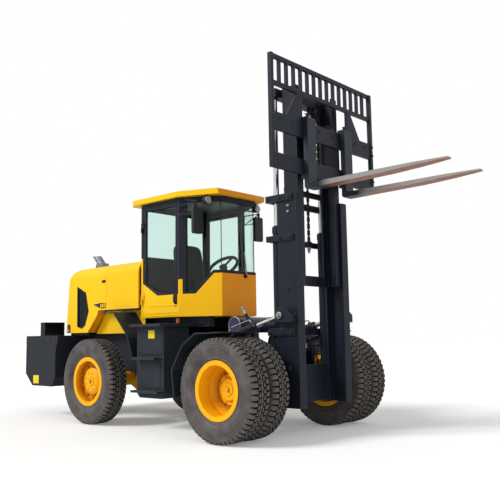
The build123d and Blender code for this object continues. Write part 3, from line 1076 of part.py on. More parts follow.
TIP_CLIP = (
    (FORK_TIP_X - TIP_LEN, FORK_HALF_W + PAST), (FORK_TIP_X + PAST, FORK_HALF_W + PAST),
    (FORK_TIP_X + PAST, 0.5 * FORK_HALF_W), (FORK_TIP_X - 65, 0.65 * FORK_HALF_W),
)
forks = []
for sign in (-1, 1):
    fork_y = sign * FORK_Y
    heel = ((SHANK_FRONT_X, blade_top_z), 30)
    fork = prism_xz(FORK_OUTLINE, fork_y - FORK_HALF_W, fork_y + FORK_HALF_W, (heel,))
    for clip in (TIP_CLIP, [(x, -y) for x, y in TIP_CLIP]):
        fork -= prism_xy([(x, fork_y + y) for x, y in clip], FORK_HEEL_Z - PAST, blade_top_z + PAST)
    forks.append(fork)
save("forks", forks)


# Cylinders: barrel with its tail eye and bore, rod with its eye
def cylinder_pair(tail, eye, barrel_len, barrel_r, rod_r, inserted, eye_axis, half_eye, pin_r):
    a, b, axis = Vector(*tail), Vector(*eye), Vector(*eye_axis)
    along = (b - a).normalized()
    gland = a + along * barrel_len
    ring = rod(tuple(a - axis * half_eye), tuple(a + axis * half_eye), pin_r + 26)
    collar = rod(tuple(gland - along * 45), tuple(gland), barrel_r + 5)
    barrel = fuse([rod(tuple(a + along * 10), tuple(gland), barrel_r), ring, collar])
    barrel -= rod(tuple(a - axis * 90), tuple(a + axis * 90), pin_r + PIN_GAP)
    barrel -= rod(tuple(a + along * (pin_r + 60)), tuple(gland + along), rod_r + PIN_GAP)
    knob = rod(tuple(b - axis * half_eye), tuple(b + axis * half_eye), pin_r + 22)
    return barrel, fuse([rod(tuple(gland - along * inserted), tuple(b), rod_r), knob])


for side, sign in SIDES:
    barrel, ram = cylinder_pair(
        (TILT_TAIL_X, sign * TILT_CYL_Y, TILT_TAIL_Z), (TILT_EYE_X, sign * TILT_CYL_Y, TILT_EYE_Z),
        TILT_BARREL_LEN, TILT_BARREL_R, TILT_ROD_R, 200, (0, 1, 0), EYE_HALF_W, TAIL_PIN_R,
    )
    save(f"tilt_barrel_{side}", [barrel])
    save(f"tilt_rod_{side}", [ram])
    barrel, ram = cylinder_pair(
        (STEER_TAIL_X, sign * STEER_Y, STEER_Z), (STEER_EYE_X, sign * STEER_Y, STEER_Z),
        STEER_BARREL_LEN, STEER_BARREL_R, STEER_ROD_R, 180, (0, 0, 1), 30, STEER_PIN_R,
    )
    save(f"steer_barrel_{side}", [barrel])
    save(f"steer_rod_{side}", [ram])
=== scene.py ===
"""Finishes and fittings for the rough terrain forklift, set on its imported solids."""

import logging
import math
from dataclasses import dataclass
from enum import Enum
from typing import Sequence

import bmesh
import bpy
from mathutils import Matrix, Vector


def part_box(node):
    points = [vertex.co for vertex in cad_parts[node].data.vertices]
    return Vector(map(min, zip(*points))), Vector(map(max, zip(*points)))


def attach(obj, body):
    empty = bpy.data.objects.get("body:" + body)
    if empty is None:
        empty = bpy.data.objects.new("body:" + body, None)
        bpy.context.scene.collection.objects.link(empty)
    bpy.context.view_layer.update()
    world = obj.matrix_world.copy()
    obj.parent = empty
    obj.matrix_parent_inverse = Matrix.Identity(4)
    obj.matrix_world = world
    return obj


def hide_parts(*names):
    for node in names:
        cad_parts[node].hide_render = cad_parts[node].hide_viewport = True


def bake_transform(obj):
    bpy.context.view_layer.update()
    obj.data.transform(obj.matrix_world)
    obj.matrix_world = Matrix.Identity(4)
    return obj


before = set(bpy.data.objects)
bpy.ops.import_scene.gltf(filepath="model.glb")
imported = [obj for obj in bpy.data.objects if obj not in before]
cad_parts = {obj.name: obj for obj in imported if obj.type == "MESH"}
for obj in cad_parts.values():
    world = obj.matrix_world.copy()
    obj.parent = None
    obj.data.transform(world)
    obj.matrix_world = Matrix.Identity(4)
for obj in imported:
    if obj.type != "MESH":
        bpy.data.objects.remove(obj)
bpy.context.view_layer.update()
LOG = logging.getLogger("forklift")
MM = 0.001
TYRE_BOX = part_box("front_right_tyres")
FRONT_AXLE_X = (TYRE_BOX[0][0] + TYRE_BOX[1][0]) / 2
AHEAD = Vector((1, 0, 0))
LEFT = Vector((0, 1, 0))
UP = Vector((0, 0, 1))


class Side(Enum):
    """The two sides of the machine, each valued by the sign of y there."""

    RIGHT = -1
    LEFT = 1

    @property
    def label(self) -> str:
        """The side's name as the nodes and bodies spell it."""
        return self.name.lower()


class Slot(Enum):
    """The record's material slots, passed with each new piece but not given to it."""

    YELLOW = "yellow_paint"
    DARK = "dark_paint"
    GREY = "frame_grey"
    RUBBER = "tyre_rubber"
    CHROME = "chrome_rod"
    VINYL = "seat_vinyl"
    PLASTIC = "trim_plastic"
    CHAIN = "chain_steel"


def spot(x: float, y: float, z: float) -> Vector:
    """Turns the source's millimetres into row metres.

    Args:
        x: Distance ahead of the front axle.
        y: Distance to the left of the middle.
        z: Height over the ground.

    Returns:
        The point in the row frame.
    """
    return Vector((FRONT_AXLE_X + x * MM, y * MM, z * MM))


def linear(code: str) -> tuple[float, float, float, float]:
    """Turns an sRGB hex colour into a linear one.

    Args:
        code: The colour as "#rrggbb".

    Returns:
        Linear red, green, blue and an alpha of one.
    """
    parts = [int(code[i:i + 2], 16) / 255 for i in (1, 3, 5)]
    return (*[c / 12.92 if c <= 0.04045 else ((c + 0.055) / 1.055) ** 2.4 for c in parts], 1.0)


def add_node(
    tree: bpy.types.NodeTree, kind: str, values: dict | None = None, links: dict | None = None,
    **settings: object,
) -> bpy.types.Node:
    """Adds one node with its settings, socket values and links.

    Args:
        tree: The node tree that it joins.
        kind: The node's type name.
        values: Constants by input socket.
        links: Output sockets by the input that each feeds.
        settings: Attributes of the node.

    Returns:
        The new node.
    """
    node = tree.nodes.new(kind)
    for key, value in settings.items():
        setattr(node, key, value)
    for key, value in (values or {}).items():
        node.inputs[key].default_value = value
    for key, source in (links or {}).items():
        tree.links.new(source, node.inputs[key])
    return node


@dataclass(frozen=True)
class Finish:
    """A plain finish: what every material here has."""

    name: str
    colour: str
    roughness: float = 0.5
    metallic: float = 0.0
    specular: float = 0.3

    def begin(self) -> tuple:
        """Starts the material.

        Returns:
            The material, its tree, its shader and the piece's own coordinates in metres.
        """
        material = bpy.data.materials.new(self.name)
        material.use_nodes = True
        tree = material.node_tree
        tree.nodes.clear()
        shader = add_node(tree, "ShaderNodeBsdfPrincipled", {
            "Base Color": linear(self.colour), "Roughness": self.roughness, "Metallic": self.metallic,
            "Specular IOR Level": self.specular,
        })
        add_node(tree, "ShaderNodeOutputMaterial", links={"Surface": shader.outputs[0]})
        coords = add_node(tree, "ShaderNodeTexCoord").outputs["Object"]
        return material, tree, shader, coords


@dataclass(frozen=True)
class Coating(Finish):
    """An opaque surface with clouded tone, settled dust, rubbed edges and a fine grain, and where set,
    painted shade in hollows and on forward faces.
    """

    shade: str = "#202020"
    cloud_mm: float = 400.0
    dust: str = "#8b8073"
    dust_top_mm: float = 1300.0
    dust_amount: float = 0.5
    worn: str = "#6f6a62"
    worn_amount: float = 0.5
    edge_mm: float = 5.0
    grain_mm: float = 8.0
    grain_depth_mm: float = 0.15
    gloss_spread: float = 0.15
    coat: float = 0.0
    streak: float = 1.0
    # Reach, colour and starting occlusion of the painted shade in hollows.
    recess_shade_mm: float = 0.0
    recess_shade: str = "#0c0b0b"
    recess_shade_open: float = 0.75
    # Colour painted on faces that look forward: a painted shade.
    front: str = ""
    # Size of the grit in clouds, and the edges of the clouds' patches, of forward faces (which take a
    # painted shade) and of a bend.
    GRIT_SHARE = 0.12
    PATCH_EDGES = (0.32, 0.68)
    FRONT_EDGES = (0.35, 0.95)
    BEND_EDGES = (0.99, 0.8)
    # How far the painted shade in a recess deepens to its full tone, the most of it, the grain's strength
    # and the coat's gloss.
    RECESS_SHADE_SPAN = 0.5
    RECESS_SHADE_MOST = 0.85
    GRAIN_STRENGTH = 0.6
    COAT_ROUGHNESS = 0.12

    def build(self) -> bpy.types.Material:
        """Makes the material.

        Returns:
            The finished material.
        """
        material, tree, shader, coords = self.begin()
        drawn = add_node(tree, "ShaderNodeMapping", {"Scale": (1.0, 1.0, self.streak)}, {"Vector": coords})
        cloud = add_node(tree, "ShaderNodeTexNoise", {"Scale": 1 / (self.cloud_mm * MM), "Detail": 5.0},
                         {"Vector": drawn.outputs[0]})
        grit = add_node(tree, "ShaderNodeTexNoise",
                        {"Scale": 1 / (self.GRIT_SHARE * self.cloud_mm * MM), "Detail": 8.0,
                         "Roughness": 0.7}, {"Vector": drawn.outputs[0]})
        patchy = add_node(tree, "ShaderNodeMapRange",
                          {"From Min": self.PATCH_EDGES[0], "From Max": self.PATCH_EDGES[1]},
                          {"Value": cloud.outputs[0]})
        tone = add_node(tree, "ShaderNodeMix", {6: linear(self.colour), 7: linear(self.shade)},
                        {0: patchy.outputs[0]}, data_type="RGBA")
        layers = []
        # Faces that look forward are tinted towards the front colour: a painted shade.
        if self.front:
            facing = add_node(tree, "ShaderNodeSeparateXYZ",
                              links={0: add_node(tree, "ShaderNodeTexCoord").outputs["Normal"]})
            ahead = add_node(tree, "ShaderNodeMapRange",
                             {"From Min": self.FRONT_EDGES[0], "From Max": self.FRONT_EDGES[1]},
                             {"Value": facing.outputs["X"]})
            layers.append((self.front, ahead))
        height = add_node(tree, "ShaderNodeSeparateXYZ", links={0: coords})
        settled = add_node(tree, "ShaderNodeMapRange",
                           {"From Min": self.dust_top_mm * MM, "From Max": 0.0, "To Max": self.dust_amount},
                           {"Value": height.outputs["Z"]})
        dusty = add_node(tree, "ShaderNodeMath", links={0: settled.outputs[0], 1: grit.outputs[0]},
                         operation="MULTIPLY")
        layers.append((self.dust, dusty))
        soft = add_node(tree, "ShaderNodeBevel", {"Radius": self.edge_mm * MM}, samples=4)
        true = add_node(tree, "ShaderNodeNewGeometry")
        bend = add_node(tree, "ShaderNodeVectorMath", links={0: soft.outputs[0], 1: true.outputs["Normal"]},
                        operation="DOT_PRODUCT")
        edge = add_node(tree, "ShaderNodeMapRange",
                        {"From Min": self.BEND_EDGES[0], "From Max": self.BEND_EDGES[1],
                         "To Max": self.worn_amount}, {"Value": bend.outputs["Value"]})
        rubbed = add_node(tree, "ShaderNodeMath", links={0: edge.outputs[0], 1: grit.outputs[0]},
                          operation="MULTIPLY")
        layers.append((self.worn, rubbed))
        # Painted shade: hollows found by ambient occlusion are darkened towards the recess colour.
        if self.recess_shade_mm:
            recess_occlusion = add_node(tree, "ShaderNodeAmbientOcclusion", {"Distance": self.recess_shade_mm * MM},
                              samples=6)
            recess_shade_mask = add_node(tree, "ShaderNodeMapRange",
                            {"From Min": self.recess_shade_open, "From Max": self.recess_shade_open - self.RECESS_SHADE_SPAN,
                             "To Max": self.RECESS_SHADE_MOST}, {"Value": recess_occlusion.outputs["AO"]})
            layers.append((self.recess_shade, recess_shade_mask))
        for colour, mask in layers:
            tone = add_node(tree, "ShaderNodeMix", {7: linear(colour)},
                            {0: mask.outputs[0], 6: tone.outputs[2]}, data_type="RGBA")
        dull = add_node(tree, "ShaderNodeMapRange",
                        {"To Min": self.roughness, "To Max": min(1.0, self.roughness + self.gloss_spread)},
                        {"Value": grit.outputs[0]})
        grain = add_node(tree, "ShaderNodeTexNoise", {"Scale": 1 / (self.grain_mm * MM), "Detail": 2.0},
                         {"Vector": coords})
        bump = add_node(tree, "ShaderNodeBump",
                        {"Strength": self.GRAIN_STRENGTH, "Distance": self.grain_depth_mm * MM},
                        {"Height": grain.outputs[0], "Normal": soft.outputs[0]})
        shader.inputs["Coat Weight"].default_value = self.coat
        shader.inputs["Coat Roughness"].default_value = self.COAT_ROUGHNESS
        for key, socket in (("Base Color", tone.outputs[2]), ("Roughness", dull.outputs[0]),
                            ("Normal", bump.outputs[0])):
            tree.links.new(socket, shader.inputs[key])
        return material


@dataclass(frozen=True)
class Glazing(Finish):
    """A clear sheet or lens: tinted through, with smears that dull it a little."""

    ior: float = 1.5
    clarity: float = 1.0
    smear_mm: float = 160.0
    # The edges of the smears, and how much duller they are.
    SMEAR_EDGES = (0.45, 0.8)
    SMEAR_DULL = 0.12

    def build(self) -> bpy.types.Material:
        """Makes the material.

        Returns:
            The finished material.
        """
        material, tree, shader, coords = self.begin()
        smear = add_node(tree, "ShaderNodeTexNoise", {"Scale": 1 / (self.smear_mm * MM), "Detail": 6.0},
                         {"Vector": coords})
        dull = add_node(tree, "ShaderNodeMapRange",
                        {"From Min": self.SMEAR_EDGES[0], "From Max": self.SMEAR_EDGES[1],
                         "To Min": self.roughness, "To Max": self.roughness + self.SMEAR_DULL},
                        {"Value": smear.outputs[0]})
        tree.links.new(dull.outputs[0], shader.inputs["Roughness"])
        shader.inputs["Transmission Weight"].default_value = self.clarity
        shader.inputs["IOR"].default_value = self.ior
        return material


@dataclass(frozen=True)
class ForkSteel(Finish):
    """Forged blade, rubbed grey with rust underneath, on a painted shank."""

    rust: str = "#9a5230"
    paint: str = "#252a35"
    paint_end_mm: float = 920.0
    paint_fade_mm: float = 130.0
    scale_mm: float = 90.0
    edge_mm: float = 5.0
    pit_depth_mm: float = 0.5
    # The slopes over which rust sets in underneath, the flakes' edges and least rust, the bump's strength.
    UNDER_EDGES = (-0.15, -0.8)
    FLAKE_EDGES = (0.2, 0.6)
    FLAKE_LEAST = 0.25
    PIT_STRENGTH = 0.5
    # How far the paint's end wanders along the blade, in metres.
    RAGGED = (0.06, 0.0, 0.0)

    def build(self) -> bpy.types.Material:
        """Makes the material.

        Returns:
            The finished material.
        """
        material, tree, shader, coords = self.begin()
        facing = add_node(tree, "ShaderNodeSeparateXYZ",
                          links={0: add_node(tree, "ShaderNodeTexCoord").outputs["Normal"]})
        under = add_node(tree, "ShaderNodeMapRange",
                         {"From Min": self.UNDER_EDGES[0], "From Max": self.UNDER_EDGES[1]},
                         {"Value": facing.outputs["Z"]})
        flakes = add_node(tree, "ShaderNodeTexNoise",
                          {"Scale": 1 / (self.scale_mm * MM), "Detail": 9.0, "Roughness": 0.65},
                          {"Vector": coords})
        broken = add_node(tree, "ShaderNodeMapRange",
                          {"From Min": self.FLAKE_EDGES[0], "From Max": self.FLAKE_EDGES[1],
                           "To Min": self.FLAKE_LEAST, "To Max": 1.0},
                          {"Value": flakes.outputs[0]})
        stain = add_node(tree, "ShaderNodeMath", links={0: under.outputs[0], 1: broken.outputs[0]},
                         operation="MULTIPLY")
        tone = add_node(tree, "ShaderNodeMix", {6: linear(self.colour), 7: linear(self.rust)},
                        {0: stain.outputs[0]}, data_type="RGBA")
        ragged = add_node(tree, "ShaderNodeVectorMath", {1: self.RAGGED},
                          {0: flakes.outputs["Color"], 2: coords}, operation="MULTIPLY_ADD")
        along = add_node(tree, "ShaderNodeSeparateXYZ", links={0: ragged.outputs[0]})
        end = FRONT_AXLE_X + self.paint_end_mm * MM
        painted = add_node(tree, "ShaderNodeMapRange",
                           {"From Min": end, "From Max": end - self.paint_fade_mm * MM},
                           {"Value": along.outputs["X"]})
        tone = add_node(tree, "ShaderNodeMix", {7: linear(self.paint)},
                        {0: painted.outputs[0], 6: tone.outputs[2]}, data_type="RGBA")
        soft = add_node(tree, "ShaderNodeBevel", {"Radius": self.edge_mm * MM}, samples=4)
        bump = add_node(tree, "ShaderNodeBump",
                        {"Strength": self.PIT_STRENGTH, "Distance": self.pit_depth_mm * MM},
                        {"Height": flakes.outputs[0], "Normal": soft.outputs[0]})
        tree.links.new(tone.outputs[2], shader.inputs["Base Color"])
        tree.links.new(bump.outputs[0], shader.inputs["Normal"])
        return material


class Surface(Enum):
    """Every finish on the machine."""

    # Stoved alkyd enamel sprayed on pressed steel: warm, glossy, a slight orange peel drawn coarse to show.
    # Faces that look forward are painted a deeper orange: a painted shade.
    YELLOW = Coating("yellow_stoved_enamel", "#fecd14", 0.34, specular=0.18, shade="#fcc60e", cloud_mm=700,
                     dust="#c9a44a", dust_amount=0.12, worn="#c9920f", worn_amount=0.45, grain_mm=14,
                     front="#ffa012")
    # The same enamel on rolled wheel rims, greyed by road dust.
    # Its hollows are painted dark orange-red: a painted shade.
    RIM = Coating("yellow_rim_enamel", "#fdbd12", 0.38, specular=0.18, shade="#fbb30e", cloud_mm=300,
                  dust="#a87a35", dust_top_mm=1100, dust_amount=0.15, worn="#b97a12", worn_amount=0.5,
                  recess_shade_mm=130, recess_shade="#a84206", recess_shade_open=0.85)
    # Two-pack slate paint brushed and sprayed on plate: dull sheen, dust on the flats, pale rubbed edges.
    SLATE = Coating("slate_machine_paint", "#272c35", 0.42, specular=0.2, shade="#1f242c", cloud_mm=500,
                    dust="#5d5e61", dust_amount=0.16, worn="#8b9099", worn_amount=0.8, grain_mm=10)
    # Darker blue-black paint on rolled mast channels, drawn along the rolling with streaks.
    NAVY = Coating("blue_black_mast_paint", "#191e2b", 0.38, specular=0.2, shade="#131722", cloud_mm=300,
                   dust="#4c4e58", dust_top_mm=900, dust_amount=0.15, worn="#7c828e", worn_amount=0.75,
                   grain_mm=10, streak=0.15)
    # Sand-cast iron under thick paint: pitted skin, soft highlights.
    CAST = Coating("painted_cast_iron", "#20242c", 0.5, specular=0.2, shade="#1a1d24", cloud_mm=350,
                   dust="#50525a", dust_amount=0.15, worn="#6d7178", worn_amount=0.6, edge_mm=9,
                   grain_mm=16, grain_depth_mm=0.9)
    # Vulcanised natural rubber, moulded: matt, with pale road dust rubbed into the sidewall.
    # Its small hollows are painted near black: a painted shade.
    SIDEWALL = Coating("dusty_tyre_sidewall", "#343131", 0.42, shade="#5b5655", cloud_mm=130, dust="#6f6a66",
                       dust_top_mm=1100, dust_amount=0.35, worn="#8c8783", worn_amount=0.8, edge_mm=4,
                       grain_mm=9, grain_depth_mm=0.3, gloss_spread=0.25, recess_shade_mm=14)
    # The same rubber on the tread's tops, ground pale by the road.
    TREAD = Coating("ground_tyre_tread", "#4b4846", 0.75, shade="#5f5b58", cloud_mm=60, dust="#7a746e",
                    dust_top_mm=1400, dust_amount=0.4, worn="#a8a29b", worn_amount=0.9, edge_mm=4,
                    grain_mm=10, grain_depth_mm=0.5, gloss_spread=0.15)
    # The same rubber in the grooves, where the road never rubs it, painted near black: a painted shade.
    GROOVE_SHADE = Coating("groove_shade_rubber", "#121111", 0.85, specular=0.15, shade="#1b1918", cloud_mm=60,
                     dust="#3a3633", dust_amount=0.3, worn="#2a2827", worn_amount=0.3, edge_mm=3)
    # Float glass tinted green in the melt, toughened: clear with faint smears. Its IOR is low, since the
    # real cab reflects little and shows a dark inside.
    GLASS = Glazing("green_tinted_glass", "#e6f5f1", 0.0, specular=0.2, ior=1.22)
    # Hard chrome plated and ground bar: bright and nearly smooth.
    CHROME = Coating("hard_chrome_plate", "#d3d5d6", 0.12, 1.0, shade="#c4c6c8", cloud_mm=60,
                     dust_amount=0.1, worn="#9a9c9e", worn_amount=0.2, grain_mm=6, grain_depth_mm=0.02,
                     gloss_spread=0.1)
    # Zinc plated fasteners, dulled to grey.
    ZINC = Coating("dull_zinc_plate", "#a3a4a2", 0.38, 1.0, shade="#8b8c8a", cloud_mm=20, dust_amount=0.3,
                   worn="#c9c9c6", worn_amount=0.4, edge_mm=1.5, grain_mm=4, grain_depth_mm=0.05)
    # Expanded vinyl on foam, embossed with a leather grain drawn at 7 mm so that it shows.
    VINYL = Coating("grained_black_vinyl", "#191a1b", 0.55, shade="#232425", cloud_mm=200, dust_amount=0.0,
                    worn="#3a3a3a", worn_amount=0.3, grain_mm=7, grain_depth_mm=0.5)
    # Injection moulded polypropylene, spark-eroded grain drawn coarse: soft dull sheen.
    PLASTIC = Coating("moulded_black_polypropylene", "#1b1d20", 0.48, shade="#24262a", cloud_mm=250,
                      dust_top_mm=3000, dust_amount=0.12, worn="#4a4c50", worn_amount=0.4, edge_mm=4,
                      grain_mm=6, grain_depth_mm=0.2)
    # Extruded rubber for seals and hose covers: matt black.
    SEAL = Coating("extruded_black_rubber", "#141516", 0.7, shade="#1d1e1f", cloud_mm=80, dust_amount=0.25,
                   worn="#333333", worn_amount=0.3, edge_mm=2, grain_mm=5, grain_depth_mm=0.1)
    # Drop-forged fork blades.
    FORK = ForkSteel("forged_fork_steel", "#8f8b86", 0.45, 0.2)
    # Aluminised exhaust tube, brushed by wiping and blued by heat; its edges are painted dark, partly heat
    # colour and partly painted shade.
    EXHAUST = Coating("aluminised_exhaust_tube", "#8b8e93", 0.42, 0.35, shade="#6d7076", cloud_mm=70,
                      dust_amount=0.0, worn="#38363a", worn_amount=0.8, grain_mm=8, streak=4.0)
    # Stamped and oiled leaf chain plates, dark with bright rubbed flanks.
    CHAIN = Coating("oiled_chain_plate", "#393835", 0.35, 0.8, shade="#2a2927", cloud_mm=40, dust_amount=0.1,
                    worn="#8d8a83", worn_amount=0.8, edge_mm=1.5, grain_mm=6, grain_depth_mm=0.05)
    # Deep blue enamel on the spun air drum.
    BLUE = Coating("blue_drum_enamel", "#1c2047", 0.3, shade="#171a38", cloud_mm=200, dust_amount=0.3,
                   worn="#5b5f7c", worn_amount=0.5, coat=0.2)
    # Moulded acrylic lamp lenses, dyed through.
    AMBER = Glazing("amber_acrylic", "#ee7a12", 0.08, ior=1.49, clarity=0.55, smear_mm=30)
    RED = Glazing("red_acrylic", "#b5161a", 0.08, ior=1.49, clarity=0.45, smear_mm=30)
    CLEAR = Glazing("clear_acrylic", "#e9ecec", 0.06, ior=1.49, clarity=0.7, smear_mm=30)
    # Silvered mirror glass and lamp reflectors.
    MIRROR = Coating("silvered_glass", "#e4e8ea", 0.04, 1.0, shade="#dbe0e2", dust_amount=0.0,
                     worn_amount=0.0, grain_depth_mm=0.0, gloss_spread=0.04)
    # Prismatic reflector sheet, plain yellow.
    REFLECTOR = Coating("yellow_reflector_sheet", "#f4dc1c", 0.3, specular=0.2, shade="#ecd014", cloud_mm=12,
                        dust_amount=0.1, worn="#c9ab1a", grain_mm=5, grain_depth_mm=0.2, coat=0.1)

    def material(self) -> bpy.types.Material:
        """The finish's material, made at its first use."""
        return bpy.data.materials.get(self.value.name) or self.value.build()


NODE_FINISHES: dict[Surface, tuple[str, ...]] = {
    Surface.YELLOW: ("engine_hood", "hood_cowl", "cab_body", "cab_roof", "door_right_panel",
                     "door_left_panel"),
    # The rear axle takes the rim's enamel, so its hollows get the same painted shade.
    Surface.RIM: ("rear_axle", "front_right_rims", "front_left_rims", "rear_right_rim", "rear_left_rim"),
    Surface.NAVY: ("outer_mast", "inner_mast", "fork_carriage", "load_backrest", "lift_barrels",
                   "front_frame", "front_axle", "tilt_barrel_right", "tilt_barrel_left",
                   "steer_barrel_right", "steer_barrel_left", "hood_grilles", "engine_block", "cab_frame",
                   "door_right_frame", "door_left_frame"),
    Surface.SLATE: ("rear_frame", "front_fenders", "rear_fenders", "side_tanks"),
    Surface.CAST: ("counterweight", "rear_lamp_boxes"),
    Surface.SIDEWALL: ("front_right_tyres", "front_left_tyres", "rear_right_tyre", "rear_left_tyre"),
    Surface.GLASS: ("cab_glass", "door_right_glass", "door_left_glass"),
    Surface.CHROME: ("lift_rods", "tilt_rod_right", "tilt_rod_left", "steer_rod_right", "steer_rod_left"),
    Surface.VINYL: ("cab_seat",),
    Surface.PLASTIC: ("cab_controls", "mirrors", "work_lamps"),
    Surface.FORK: ("forks",),
    Surface.EXHAUST: ("exhaust_tail",),
    Surface.CHAIN: ("lift_chains_front", "lift_chains_rear"),
    Surface.BLUE: ("air_tank",),
}


def bowed(points: Sequence[Vector], steps: int = 24) -> list[Vector]:
    """Reads a smooth path off a NURBS spline with these control points.

    Args:
        points: Control points in row metres.
        steps: Points per span of the spline.

    Returns:
        The path's points.
    """
    curve = bpy.data.curves.new("route", "CURVE")
    curve.dimensions = "3D"
    curve.resolution_u = steps
    spline = curve.splines.new("NURBS")
    spline.points.add(len(points) - 1)
    for handle, point in zip(spline.points, points):
        handle.co = (*point, 1.0)
    spline.order_u = 3
    spline.use_endpoint_u = True
    holder = bpy.data.objects.new("route", curve)
    bpy.context.collection.objects.link(holder)
    bpy.context.view_layer.update()
    shown = holder.evaluated_get(bpy.context.evaluated_depsgraph_get())
    mesh = bpy.data.meshes.new_from_object(shown)
    path = [vertex.co.copy() for vertex in mesh.vertices]
    bpy.data.objects.remove(holder)
    bpy.data.curves.remove(curve)
    bpy.data.meshes.remove(mesh)
    return path


def upright(x: float, y: float, z: float, out: int) -> Matrix:
    """Sets an outline's plane on a wall that faces to one side.

    Args:
        x: Where the outline's origin lies, in the source's millimetres.
        y: The wall's place.
        z: The origin's height.
        out: The sign of y that the wall faces.

    Returns:
        A matrix that takes outline x to the right as the wall is seen, outline y up and depth outward.
    """
    place = Matrix((-AHEAD * out, UP, LEFT * out)).transposed().to_4x4()
    return Matrix.Translation(spot(x, y, z)) @ place


def oblong(width: float, height: float, corner: float, steps: int = 4) -> list[tuple[float, float]]:
    """Draws a rectangle with rounded corners about the origin.

    Args:
        width: Along the first axis, in millimetres.
        height: Along the second.
        corner: Radius of the corners.
        steps: Facets in each corner.

    Returns:
        The outline's corners, turning to the left.
    """
    outline = []
    for quarter, (sx, sy) in enumerate(((1, 1), (-1, 1), (-1, -1), (1, -1))):
        for i in range(steps + 1):
            turn = math.pi / 2 * (quarter + i / steps)
            outline.append((sx * (width / 2 - corner) + corner * math.cos(turn),
                            sy * (height / 2 - corner) + corner * math.sin(turn)))
    return outline


